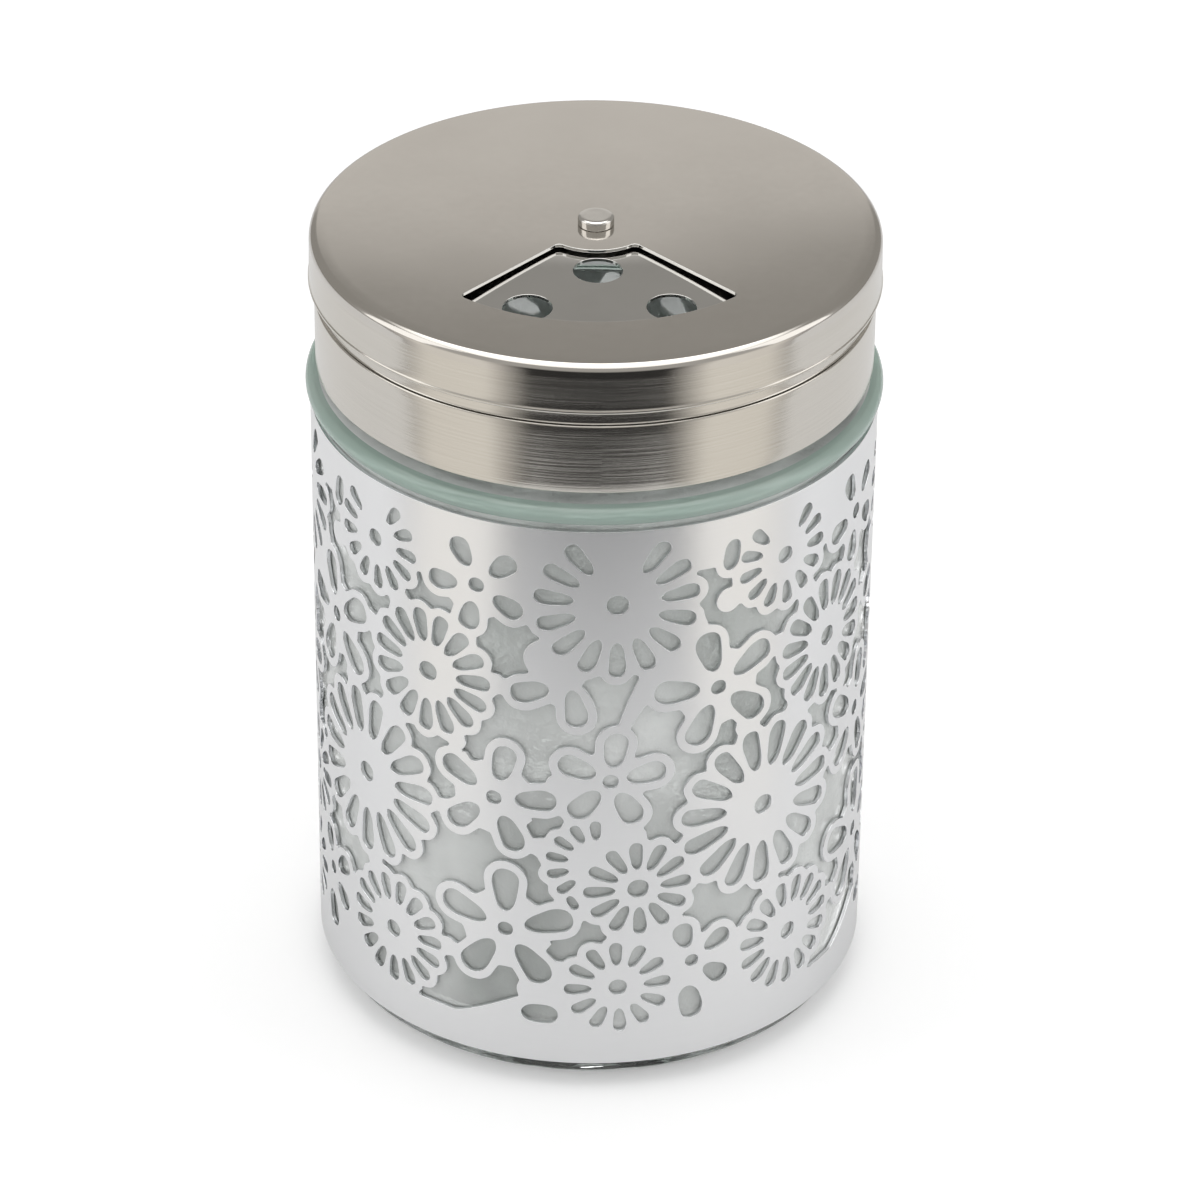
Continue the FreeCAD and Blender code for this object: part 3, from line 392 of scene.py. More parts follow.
def spread(nodes, links, value, out_low, out_high):
    """The middle stretch of a noise, moved to a range."""
    return ranged(nodes, links, value, NOISE_LOW, NOISE_HIGH, out_low, out_high)


def tinted(nodes, links, value, dark, light):
    """A colour between two tones."""
    ramp = nodes.new("ShaderNodeValToRGB")
    ramp.color_ramp.elements[0].position = NOISE_LOW
    ramp.color_ramp.elements[0].color = (*dark, 1.0)
    ramp.color_ramp.elements[1].position = NOISE_HIGH
    ramp.color_ramp.elements[1].color = (*light, 1.0)
    links.new(value, ramp.inputs["Fac"])
    return ramp.outputs["Color"]


def bumped(nodes, links, shader, height, strength, distance):
    """A fine relief in the finish."""
    bump = nodes.new("ShaderNodeBump")
    bump.inputs["Strength"].default_value = strength
    bump.inputs["Distance"].default_value = distance
    links.new(height, bump.inputs["Height"])
    links.new(bump.outputs["Normal"], shader.inputs["Normal"])


def ring_place(nodes, links, turns, height):
    """Object coordinates as (angle, height), so that a noise runs round the axis."""
    place = nodes.new("ShaderNodeTexCoord")
    parts = nodes.new("ShaderNodeSeparateXYZ")
    links.new(place.outputs["Object"], parts.inputs["Vector"])
    angle = nodes.new("ShaderNodeMath")
    angle.operation = "ARCTAN2"
    links.new(parts.outputs["X"], angle.inputs[0])
    links.new(parts.outputs["Y"], angle.inputs[1])
    joined = nodes.new("ShaderNodeCombineXYZ")
    stretch = nodes.new("ShaderNodeMapping")
    stretch.inputs["Scale"].default_value = (turns, height, 1.0)
    links.new(angle.outputs["Value"], joined.inputs["X"])
    links.new(parts.outputs["Z"], joined.inputs["Y"])
    links.new(joined.outputs["Vector"], stretch.inputs["Vector"])
    return stretch.outputs["Vector"]


def round_tangent(nodes, links, shader):
    """Lays the brushing round the axis."""
    tangent = nodes.new("ShaderNodeTangent")
    tangent.direction_type = "RADIAL"
    tangent.axis = "Z"
    links.new(tangent.outputs["Tangent"], shader.inputs["Tangent"])


def polished_steel(name, dark, light, rough_low, rough_high, warp):
    """Polished sheet: faint cloudiness and a slow waviness of the sheet."""
    material, nodes, links, shader = new_material(name)
    shader.inputs["Metallic"].default_value = 1.0
    clouds = noise(nodes, links, object_place(nodes, links), scale=90.0, detail=3.0)
    links.new(tinted(nodes, links, clouds, dark, light), shader.inputs["Base Color"])
    grain = noise(nodes, links, object_place(nodes, links), scale=900.0, detail=4.0)
    links.new(spread(nodes, links, grain, rough_low, rough_high), shader.inputs["Roughness"])
    wave = noise(nodes, links, object_place(nodes, links), scale=38.0, detail=1.0)
    bumped(nodes, links, shader, wave, strength=1.0, distance=warp)
    return material


def brushed_steel(name, dark, light, rough_low, rough_high, stretch, lines):
    """Brushed sheet: lines round the axis and a highlight drawn out across them."""
    material, nodes, links, shader = new_material(name)
    shader.inputs["Metallic"].default_value = 1.0
    shader.inputs["Anisotropic"].default_value = stretch
    shader.inputs["Anisotropic Rotation"].default_value = QUARTER_TURN
    round_tangent(nodes, links, shader)
    place = ring_place(nodes, links, turns=1.5, height=4000.0)
    streaks = noise(nodes, links, place, scale=1.0, detail=3.0, rough=0.6)
    links.new(tinted(nodes, links, streaks, dark, light), shader.inputs["Base Color"])
    links.new(spread(nodes, links, streaks, rough_low, rough_high), shader.inputs["Roughness"])
    if lines > 0:
        bumped(nodes, links, shader, streaks, strength=0.25, distance=lines)
    return material


def plain_glass(name, dark, light, rough, clear):
    """Smooth glass with a slow waviness."""
    material, nodes, links, shader = new_material(name)
    shader.inputs["Transmission Weight"].default_value = clear
    shader.inputs["IOR"].default_value = GLASS_BENDING
    clouds = noise(nodes, links, object_place(nodes, links), scale=60.0, detail=2.0)
    links.new(tinted(nodes, links, clouds, dark, light), shader.inputs["Base Color"])
    shader.inputs["Roughness"].default_value = rough
    wave = noise(nodes, links, object_place(nodes, links), scale=160.0, detail=2.0)
    bumped(nodes, links, shader, wave, strength=0.4, distance=0.0004)
    return material


def misty_glass(name, dark, light, rough_low, rough_high, peel_depth):
    """Pressed glass, clearer in some clouds than in others, with an orange-peel surface."""
    material, nodes, links, shader = new_material(name)
    shader.inputs["IOR"].default_value = GLASS_BENDING
    place = object_place(nodes, links, (1, 1, 0.6))
    clouds = noise(nodes, links, place, scale=55.0, detail=3.0)
    links.new(spread(nodes, links, clouds, MIST_CLEAREST, MIST_DENSEST), shader.inputs["Transmission Weight"])
    links.new(tinted(nodes, links, clouds, dark, light), shader.inputs["Base Color"])
    links.new(spread(nodes, links, clouds, rough_low, rough_high), shader.inputs["Roughness"])
    peel = noise(nodes, links, object_place(nodes, links), scale=900.0, detail=2.0)
    bumped(nodes, links, shader, peel, strength=0.6, distance=peel_depth)
    return material


def moulded(name, dark, light, rough, grain_scale):
    """Plastic or rubber with a fine grain."""
    material, nodes, links, shader = new_material(name)
    clouds = noise(nodes, links, object_place(nodes, links), scale=120.0, detail=3.0)
    links.new(tinted(nodes, links, clouds, dark, light), shader.inputs["Base Color"])
    shader.inputs["Roughness"].default_value = rough
    grain = noise(nodes, links, object_place(nodes, links), scale=grain_scale, detail=3.0)
    bumped(nodes, links, shader, grain, strength=0.2, distance=0.0002)
    return material


dial_top_steel = polished_steel("dial_top_steel", (0.67, 0.64, 0.6), (0.7, 0.67, 0.63), 0.1, 0.12, 0.00006)
plate_steel = polished_steel("plate_steel", (0.7, 0.69, 0.67), (0.76, 0.75, 0.73), 0.03, 0.06, 0.0001)
rivet_steel = polished_steel("rivet_steel", (0.7, 0.68, 0.65), (0.76, 0.74, 0.71), 0.1, 0.16, 0.0001)
skirt_steel = brushed_steel("skirt_steel", (0.67, 0.64, 0.59), (0.73, 0.7, 0.65), 0.15, 0.2, 0.6, 0.00005)
inner_steel = brushed_steel("inner_steel", (0.55, 0.54, 0.52), (0.64, 0.63, 0.61), 0.3, 0.4, 0.5, 0.0001)
sleeve_steel = brushed_steel(
    "sleeve_steel", (0.945, 0.95, 0.96), (0.955, 0.96, 0.97), 0.285, 0.295, 0.85, 0.0
)
sleeve_edge = polished_steel("sleeve_edge", (0.8, 0.81, 0.83), (0.88, 0.89, 0.91), 0.12, 0.2, 0.0001)
sleeve_back = brushed_steel("sleeve_back", (0.9, 0.91, 0.91), (0.94, 0.95, 0.95), 0.35, 0.45, 0.3, 0.00005)
clear_glass = plain_glass("clear_glass", (0.94, 0.98, 0.96), (0.97, 0.99, 0.98), 0.02, 1.0)
bead_glass = plain_glass("bead_glass", (0.6, 0.78, 0.69), (0.68, 0.84, 0.76), 0.05, 0.45)
wall_glass = misty_glass("wall_glass", (0.93, 0.965, 0.94), (0.98, 1.0, 0.985), 0.05, 0.12, 0.0002)
white_plastic = moulded("white_plastic", (0.8, 0.8, 0.78), (0.86, 0.86, 0.84), 0.4, 1500.0)
soft_seal = moulded("soft_seal", (0.7, 0.7, 0.68), (0.76, 0.76, 0.74), 0.7, 2500.0)


# The pierced sleeve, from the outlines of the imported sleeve's outer face
SLEEVE_RADIUS = 33.0
SLEEVE_SHEET = 0.45
SLEEVE_SEAM = 219.15
SLEEVE_EDGE_ROUND = 0.06
SLEEVE_HOLE_STEP = 0.3
SLEEVE_BORDER_STEP = 0.9
SLEEVE_GRID_START = 0.7
SLEEVE_GRID_STEP = 1.1
SLEEVE_SKIN = 0.1
SAME_POINT = 1e-6


def sleeve_loops():
    """The rims of the sleeve's outer face, hole by hole."""
    packed = bmesh.new()
    packed.from_mesh(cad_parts["floral_sleeve"].data)
    bmesh.ops.remove_doubles(packed, verts=packed.verts, dist=SAME_POINT)
    limit = (SLEEVE_RADIUS - SLEEVE_SKIN) * METRE
    outer = set()
    for face in packed.faces:
        if all(math.hypot(v.co.x, v.co.y) > limit for v in face.verts):
            outer.add(face.index)
    follow = {}
    for edge in packed.edges:
        sides = [face for face in edge.link_faces if face.index in outer]
        if len(sides) == 1:
            for loop in sides[0].loops:
                if loop.edge == edge:
                    follow[loop.vert.index] = loop.link_loop_next.vert.index
    packed.verts.ensure_lookup_table()
    loops = []
    while follow:
        start, here = follow.popitem()
        chain = [start]
        while here != start:
            chain.append(here)
            here = follow.pop(here)
        loops.append([packed.verts[i].co.copy() / METRE for i in chain])
    packed.free()
    return loops


def sleeve_flat(loops):
    """The outlines laid flat: the length round the sleeve from the front, and the height."""
    flat = []
    for loop in loops:
        turns = np.array([math.degrees(math.atan2(p.x, -p.y)) for p in loop])
        turns = np.where(turns < SLEEVE_SEAM - 360.0, turns + 360.0, turns)
        heights = np.array([p.z for p in loop])
        flat.append(np.column_stack([np.radians(turns) * SLEEVE_RADIUS, heights]))
    flat.sort(key=lambda loop: np.ptp(loop[:, 0]), reverse=True)
    return flat[0], flat[1:]


def sleeve_place(flat, depth):
    """Flat points rolled round the jar, sunk by a depth."""
    turn = flat[:, 0] / SLEEVE_RADIUS
    radius = SLEEVE_RADIUS - depth
    return np.column_stack([radius * np.sin(turn), -radius * np.cos(turn), flat[:, 1]])


def sleeve_normal(flat):
    """Directions straight out of the rolled sheet."""
    turn = flat[:, 0] / SLEEVE_RADIUS
    return np.column_stack([np.sin(turn), -np.cos(turn), np.zeros(len(flat))])


def box_loop(low, high, step):
    """A closed rectangle of evenly spaced points."""
    across = np.arange(low[0], high[0], step)
    up = np.arange(low[1], high[1], step)
    bottom = [(x, low[1]) for x in across]
    right = [(high[0], y) for y in up]
    top = [(low[0] + high[0] - x, high[1]) for x in across]
    left = [(low[0], low[1] + high[1] - y) for y in up]
    return np.array(bottom + right + top + left)


def clear_grid(points, border, holes, room):
    """The points that lie in the sheet and not too near a rim."""
    keep = inside(points, border)
    for hole in holes:
        keep &= ~inside(points, hole)
    points = points[keep]
    rim_points = np.vstack([border] + holes)
    cells = {}
    for x, y in rim_points:
        cells.setdefault((math.floor(x / room), math.floor(y / room)), []).append((x, y))
    result = []
    for x, y in points:
        column, row = math.floor(x / room), math.floor(y / room)
        near = []
        for i in (-1, 0, 1):
            for j in (-1, 0, 1):
                near.extend(cells.get((column + i, row + j), ()))
        if all(math.hypot(x - a, y - b) > room for a, b in near):
            result.append((x, y))
    return np.array(result)


outer_loop, hole_loops = sleeve_flat(sleeve_loops())
hole_loops = [even_spacing(counter_clockwise(loop), SLEEVE_HOLE_STEP) for loop in hole_loops]
border_loop = box_loop(outer_loop.min(axis=0), outer_loop.max(axis=0), SLEEVE_BORDER_STEP)
sleeve_rims = []
for loop, border in [(border_loop, True)] + [(loop, False) for loop in hole_loops]:
    sleeve_rims.append(
        rolled_rim(loop, border, sleeve_place, sleeve_normal, SLEEVE_SHEET, SLEEVE_EDGE_ROUND)
    )
low, high = border_loop.min(axis=0), border_loop.max(axis=0)
columns, rows = np.meshgrid(
    np.arange(low[0] + SLEEVE_GRID_START, high[0], SLEEVE_GRID_STEP),
    np.arange(low[1] + SLEEVE_GRID_START, high[1], SLEEVE_GRID_STEP),
)
sleeve_points = np.column_stack([columns.ravel(), rows.ravel()])
sleeve_grid = clear_grid(sleeve_points, border_loop, hole_loops, RIM_ROOM)
sleeve = pierced_sheet(
    "sleeve_sheet",
    sleeve_rims,
    sleeve_grid,
    sleeve_place,
    sleeve_normal,
    SLEEVE_SHEET,
    [sleeve_steel, sleeve_back, sleeve_edge],
    [RIM] * len(sleeve_rims),
)
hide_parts("floral_sleeve")
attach(sleeve, "jar")


# The glass jar, with its thread as a swelling of the neck
CLEAR = 0
MISTY = 1
BEAD = 2
JAR_STEPS = 256
WALL_RADIUS = 32.4
INSIDE_RADIUS = 29.5
NECK_RADIUS = 28.9
MOUTH_RADIUS = 26.1
BASE_RISE = 1.2
BASE_RADIUS = 22.0
BASE_ROUND = 1.0
FOOT_RADIUS = 24.3
HEEL_ROUND = 3.8
BEAD_START = 77.2
BEAD_HEIGHT = 78.5
BEAD_ROUND = 1.12
SHOULDER_HEIGHT = 81.07
SHOULDER_ROUND = 0.7
RIM_HEIGHT = 94.4
RIM_ROUND = 0.8
BEND_ROUND = 1.7
BEND_TOP = 79.0
BEND_BOTTOM = 75.6
FLOOR_HEIGHT = 5.0
FLOOR_ROUND = 4.0
THREAD_PITCH = 4.0
THREAD_START = 86.0
THREAD_HALF = 1.1
THREAD_FLANK = 0.6
THREAD_TURNS = 1.4
THREAD_FADE = 0.06
THREAD_DEPTH = 1.0
NEAR = 0.1

heel_radius = WALL_RADIUS - HEEL_ROUND
shoulder_radius = NECK_RADIUS + SHOULDER_ROUND
rim_outer = NECK_RADIUS - RIM_ROUND
rim_inner = MOUTH_RADIUS + RIM_ROUND
rim_top = RIM_HEIGHT + RIM_ROUND
bend_radius = MOUTH_RADIUS + BEND_ROUND
bead_top = BEAD_HEIGHT + BEAD_ROUND
floor_radius = INSIDE_RADIUS - FLOOR_ROUND
floor_bend = FLOOR_HEIGHT + FLOOR_ROUND
jar_profile = [(0.0, BASE_RISE)] + line((0.0, BASE_RISE), (BASE_RADIUS, BASE_RISE), 6)
jar_profile += arc(BASE_RADIUS, BASE_RISE - BASE_ROUND, BASE_ROUND, 90, 53, 4)[1:]
jar_profile += line(jar_profile[-1], (23.8, 0.12), 3)
jar_profile += [(FOOT_RADIUS, 0.0)]
jar_profile += line((FOOT_RADIUS, 0.0), (heel_radius, 0.0), 4)
jar_profile += arc(heel_radius, HEEL_ROUND, HEEL_ROUND, -90, 0, 16)[1:]
jar_profile += line((WALL_RADIUS, HEEL_ROUND), (WALL_RADIUS, BEAD_START), 48)
jar_profile += arc(WALL_RADIUS, BEAD_HEIGHT, BEAD_ROUND, -90, 90, 24)
jar_profile += line((WALL_RADIUS, bead_top), (shoulder_radius, SHOULDER_HEIGHT - SHOULDER_ROUND), 8)
jar_profile += arc(shoulder_radius, SHOULDER_HEIGHT, SHOULDER_ROUND, -90, -180, 8)
jar_profile += line((NECK_RADIUS, SHOULDER_HEIGHT), (NECK_RADIUS, RIM_HEIGHT), 66)
jar_profile += arc(rim_outer, RIM_HEIGHT, RIM_ROUND, 0, 90, 8)[1:]
jar_profile += line((rim_outer, rim_top), (rim_inner, rim_top), 3)
jar_profile += arc(rim_inner, RIM_HEIGHT, RIM_ROUND, 90, 180, 8)[1:]
jar_profile += line((MOUTH_RADIUS, RIM_HEIGHT), (MOUTH_RADIUS, BEND_TOP), 20)
jar_profile += arc(bend_radius, BEND_TOP, BEND_ROUND, 180, 270, 10)[1:]
jar_profile += arc(bend_radius, BEND_BOTTOM, BEND_ROUND, 90, 0, 10)
jar_profile += line((INSIDE_RADIUS, BEND_BOTTOM), (INSIDE_RADIUS, floor_bend), 40)
jar_profile += arc(floor_radius, floor_bend, FLOOR_ROUND, 0, -90, 14)[1:]
jar_profile += line((floor_radius, FLOOR_HEIGHT), (0.0, FLOOR_HEIGHT), 10)


def neck_thread(turns, radii, heights):
    """One right-handed thread rib, fading out at both ends."""
    east = (turns - math.pi / 2) / (2 * math.pi)
    total = np.zeros(np.broadcast_shapes(turns.shape, heights.shape))
    on_neck = np.abs(radii - NECK_RADIUS) < NEAR
    on_neck = on_neck & (heights > SHOULDER_HEIGHT - NEAR) & (heights < RIM_HEIGHT + NEAR)
    for lap in (-1, 0, 1):
        along = east + lap
        middle = THREAD_START + THREAD_PITCH * along
        away = np.abs(heights - middle)
        rise = np.clip((THREAD_HALF - away) / THREAD_FLANK, 0.0, 1.0)
        ends = np.clip(along / THREAD_FADE, 0.0, 1.0)
        ends = ends * np.clip((THREAD_TURNS - along) / THREAD_FADE, 0.0, 1.0)
        smooth = rise * rise * (3 - 2 * rise) * ends
        total = np.maximum(total, np.where(on_neck, smooth, 0.0))
    return THREAD_DEPTH * total


def jar_slot(r, z):
    """The glass finish of a band: wall, bead and shoulder, or the clear rest."""
    if r > WALL_RADIUS - NEAR and HEEL_ROUND - NEAR < z < BEAD_START - NEAR:
        return MISTY
    if r > WALL_RADIUS - NEAR and z > BEAD_START - NEAR:
        return BEAD
    if r > NECK_RADIUS - NEAR and bead_top - NEAR < z < SHOULDER_HEIGHT + NEAR:
        return MISTY
    return CLEAR


jar_finishes = [clear_glass, wall_glass, bead_glass]
jar = lathe("jar_glass", jar_profile, jar_finishes, jar_slot, neck_thread, JAR_STEPS)
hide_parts("glass_jar")
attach(jar, "jar")


# Round lid sheets: a slightly domed top with holes and a turned skirt
def domed(top, flat_radius, edge_radius, drop):
    """Two functions for a domed sheet: the place of flat points and the directions out of it."""
    width = edge_radius - flat_radius

    def share_of(radius):
        return np.clip((radius - flat_radius) / width, 0.0, None)

    def place(flat, depth):
        share = share_of(np.hypot(flat[:, 0], flat[:, 1]))
        return np.column_stack([flat, top - drop * share * share - depth])

    def normal(flat):
        radius = np.hypot(flat[:, 0], flat[:, 1])
        slope = -2 * drop * share_of(radius) / width
        lean = -slope / np.maximum(radius, SAME_POINT)
        return unit(np.column_stack([lean * flat[:, 0], lean * flat[:, 1], np.ones(len(flat))]))

    return place, normal


def skirt_rings(loop, profile):
    """Rings of a turned skirt, one for each point of its outline."""
    outward = unit(loop)
    flat = -unit(profile_normals(profile))
    rings = []
    for (r, z), (out_share, up_share) in zip(profile, flat):
        points = np.column_stack([outward * r, np.full(len(outward), z)])
        tilt = np.column_stack([outward * out_share, np.full(len(outward), up_share)])
        rings.append((points, tilt))
    return loop, rings


def polar_grid(end):
    """Evenly spread points on rings, out to an end radius."""
    points = []
    for radius in np.arange(RING_START, end, RING_SPACING):
        count = max(FEWEST_POINTS, int(2 * math.pi * radius / RING_SPACING))
        points.extend(circle_loop(0.0, 0.0, radius, count).tolist())
    return np.array(points)


def lid_sheet(
    name, shape, border_radius, profile, holes, sheet, rounding, materials, skirt_slots, grid_end
):
    """A domed top with holes, joined at its border to a turned skirt."""
    place, normal = shape
    border = circle_loop(0.0, 0.0, border_radius, ROUND_STEPS)
    holes = [counter_clockwise(loop) for loop in holes]
    rims = [skirt_rings(border, profile)]
    for loop in holes:
        rims.append(rolled_rim(loop, False, place, normal, sheet, rounding))
    grid = clear_grid(polar_grid(grid_end), border, holes, RIM_ROOM)
    slots = [skirt_slots] + [RIM] * len(holes)
    return pierced_sheet(name, rims, grid, place, normal, sheet, materials, slots)


# The lower cap
CAP_SHEET = 0.4
CAP_EDGE_ROUND = 0.06
CAP_TOP = 97.2
CAP_FLAT = 5.0
CAP_EDGE = 24.5
CAP_DROP = 0.55
CAP_RIM = 96.65
CAP_RIM_UNDER = 96.25
CAP_BEND = 30.9
CAP_BEND_HEIGHT = 95.65
CAP_UPPER = 31.9
CAP_UPPER_INSIDE = 31.5
CAP_LOWER = 32.33
CAP_LOWER_INSIDE = 31.93
CAP_FOOT = 81.4
CAP_GRID_END = 24.0
PLATE_LOW = 95.0
PLATE_END = 31.7
PIVOT_HOLE = 1.15
LARGE_HOLE = 2.82
FINE_HOLE = 1.1

cap_shape = domed(CAP_TOP, CAP_FLAT, CAP_EDGE, CAP_DROP)
cap_profile = [(CAP_EDGE, CAP_RIM)] + line((CAP_EDGE, CAP_RIM), (CAP_BEND, CAP_RIM), 8)
cap_profile += arc(CAP_BEND, CAP_BEND_HEIGHT, 1.0, 90, 0, 10)[1:]
cap_profile += line((CAP_UPPER, CAP_BEND_HEIGHT), (CAP_UPPER, 90.05), 6)
cap_profile += arc(32.15, 90.05, 0.25, 180, 250, 4)[1:]
cap_profile += arc(32.08, 89.55, 0.25, 80, 0, 5)
cap_profile += line((CAP_LOWER, 89.55), (CAP_LOWER, CAP_FOOT), 8)
cap_profile += arc(32.13, CAP_FOOT, 0.2, 0, -180, 10)[1:]
cap_profile += line((CAP_LOWER_INSIDE, CAP_FOOT), (CAP_LOWER_INSIDE, 89.3), 8)
cap_profile += arc(31.7, 89.3, 0.23, 0, 80, 4)[1:]
cap_profile += line(cap_profile[-1], (CAP_UPPER_INSIDE, 89.75), 2)
cap_profile += line((CAP_UPPER_INSIDE, 89.75), (CAP_UPPER_INSIDE, CAP_BEND_HEIGHT), 6)
cap_profile += arc(CAP_BEND, CAP_BEND_HEIGHT, 0.6, 0, 90, 6)[1:]
cap_profile += line((CAP_BEND, CAP_RIM_UNDER), (CAP_EDGE, CAP_RIM_UNDER), 8)
cap_holes = [circle_loop(0.0, 0.0, PIVOT_HOLE, 40)]
for ring, azimuth in ((9.8, 0.0), (19.66, -24.2), (19.66, 24.2)):
    cap_holes.append(circle_loop(*on_ring(ring, azimuth), LARGE_HOLE, 72))
for ring, azimuths in ((9.4, (78, 102)), (14.4, (68, 90, 112)), (19.4, (64, 81, 99, 116))):
    for azimuth in azimuths:
        cap_holes.append(circle_loop(*on_ring(ring, azimuth), FINE_HOLE, 36))
cap_holes.append(sector_loop(inner=9.0, outer=21.0, half_angle=30.0, corner=1.2, azimuth=-90.0))
# The plate's finish covers the top as far as the bend, and the same stretch inside
cap_slots = [OUTER_FACE if z > PLATE_LOW and r < PLATE_END else SKIRT for r, z in cap_profile]
cap = lid_sheet(
    "cap_sheet",
    cap_shape,
    CAP_EDGE,
    cap_profile,
    cap_holes,
    CAP_SHEET,
    CAP_EDGE_ROUND,
    [plate_steel, inner_steel, plate_steel, skirt_steel],
    cap_slots,
    CAP_GRID_END,
)
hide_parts("screw_cap")
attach(cap, "cap")


# The shaker dial
DIAL_SHEET = 0.4
DIAL_EDGE_ROUND = 0.08
DIAL_TOP = 97.93
DIAL_FLAT = 5.0
DIAL_EDGE = 31.83
DIAL_DROP = 0.31
DIAL_RIM = 97.62
DIAL_BEND_HEIGHT = 96.62
DIAL_LIP_TOP = 92.2
DIAL_FOOT = 91.7
DIAL_GRID_END = 31.2
DIAL_PIVOT_HOLE = 1.38
DIAL_INSIDE_BANDS = 3

dial_shape = domed(DIAL_TOP, DIAL_FLAT, DIAL_EDGE, DIAL_DROP)
dial_profile = [(DIAL_EDGE, DIAL_RIM)]
dial_profile += arc(DIAL_EDGE, DIAL_BEND_HEIGHT, 1.0, 90, 0, 16)[1:]
top_end = len(dial_profile)
dial_profile += line((32.83, DIAL_BEND_HEIGHT), (32.89, DIAL_LIP_TOP), 8)
dial_profile += arc(32.72, 91.85, 0.3, 50, -90, 12)
dial_profile += arc(32.6, DIAL_FOOT, 0.15, -90, -180, 4)
dial_profile += line((32.45, DIAL_FOOT), (32.49, DIAL_LIP_TOP), 2)
dial_profile += line((32.49, DIAL_LIP_TOP), (32.43, DIAL_BEND_HEIGHT), 8)
# The skirt's finish goes on inside, up to a little below the bend
skirt_end = len(dial_profile) - DIAL_INSIDE_BANDS
dial_profile += arc(DIAL_EDGE, DIAL_BEND_HEIGHT, 0.6, 0, 90, 8)[1:]
dial_holes = [
    circle_loop(0.0, 0.0, DIAL_PIVOT_HOLE, 48),
    sector_loop(inner=6.4, outer=22.9, half_angle=43.0, corner=0.7, azimuth=0.0),
]
dial_slots = [OUTER_FACE] * top_end + [SKIRT] * (skirt_end - top_end)
dial_slots += [INNER_FACE] * (len(dial_profile) - skirt_end)
dial = lid_sheet(
    "dial_sheet",
    dial_shape,
    DIAL_EDGE,
    dial_profile,
    dial_holes,
    DIAL_SHEET,
    DIAL_EDGE_ROUND,
    [dial_top_steel, inner_steel, plate_steel, skirt_steel],
    dial_slots,
    DIAL_GRID_END,
)
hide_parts("shaker_dial")
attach(dial, "dial")


# The rivet: flat head with a small round, shoulder, tail and peened end
rivet_profile = [(0.0, 95.6)] + line((0.0, 95.6), (1.4, 95.6), 3)
rivet_profile += arc(1.4, 96.0, 0.4, -90, 0, 6)[1:]
rivet_profile += [(1.9, 96.1), (1.9, 96.3), (1.8, 96.4), (1.15, 96.4), (1.1, 96.45)]
rivet_profile += line((1.1, 96.45), (1.1, 97.15), 3) + [(1.12, 97.2), (1.26, 97.2), (1.3, 97.24)]
rivet_profile += line((1.3, 97.24), (1.3, 97.95), 3) + [(1.33, 97.98), (2.0, 97.98)]
rivet_profile += arc(2.0, 98.06, 0.08, -90, 0, 5)[1:]
rivet_profile += line((2.08, 98.06), (2.08, 98.71), 3)
rivet_profile += arc(1.73, 98.71, 0.35, 0, 90, 8)[1:]
rivet_profile += line((1.73, 99.06), (0.0, 99.06), 5)
RIVET_STEPS = 96
rivet = lathe("rivet", rivet_profile, [rivet_steel], lambda r, z: 0, None, RIVET_STEPS)
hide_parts("pivot_rivet")
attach(rivet, "cap")


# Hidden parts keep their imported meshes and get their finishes
for node, material in (
    ("thread_insert", white_plastic),
    ("friction_washer", white_plastic),
    ("sealing_ring", soft_seal),
    ("backing_washer", rivet_steel),
):
    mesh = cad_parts[node].data
    mesh.materials.clear()
    mesh.materials.append(material)


# Pale floor with a tongue towards the camera, in metres; the camera sees it white, the metal pale grey
def flat_stage(name, outline, material):
    """A flat piece of the studio, not of the part."""
    mesh = bpy.data.meshes.new(name)
    mesh.from_pydata([(x, y, 0.0) for x, y in outline], [], [tuple(range(len(outline)))])
    mesh.materials.append(material)
    piece = bpy.data.objects.new(name, mesh)
    bpy.context.scene.collection.objects.link(piece)


FLOOR_GLOW = 0.32


def floor_finish():
    """Pale and matt, a little brighter to the camera."""
    material, nodes, links, shader = new_material("floor_finish")
    clouds = noise(nodes, links, object_place(nodes, links), scale=6.0, detail=2.0)
    tone = tinted(nodes, links, clouds, (0.9, 0.9, 0.9), (0.92, 0.92, 0.92))
    links.new(tone, shader.inputs["Base Color"])
    shader.inputs["Roughness"].default_value = 0.7
    shader.inputs["Emission Color"].default_value = (1.0, 1.0, 1.0, 1.0)
    path = nodes.new("ShaderNodeLightPath")
    glow = ranged(nodes, links, path.outputs["Is Camera Ray"], 0.0, 1.0, 0.0, FLOOR_GLOW)
    links.new(glow, shader.inputs["Emission Strength"])
    return material


floor_half = [(0.065, -0.149), (0.09, -0.045), (1.5, -0.045), (1.5, 2.0)]
floor_outline = floor_half + [(-x, y) for x, y in reversed(floor_half)]
flat_stage("floor", floor_outline, floor_finish())


# Studio light: a white surround for the camera, tones for the reflections, soft lamps
def fill_ramp(ramp, tones):
    """Puts tones at their positions."""
    ramp.elements[0].position = tones[0][0]
    ramp.elements[0].color = (*tones[0][1], 1.0)
    ramp.elements[1].position = tones[-1][0]
    ramp.elements[1].color = (*tones[-1][1], 1.0)
    for position, tone in tones[1:-1]:
        element = ramp.elements.new(position)
        element.color = (*tone, 1.0)


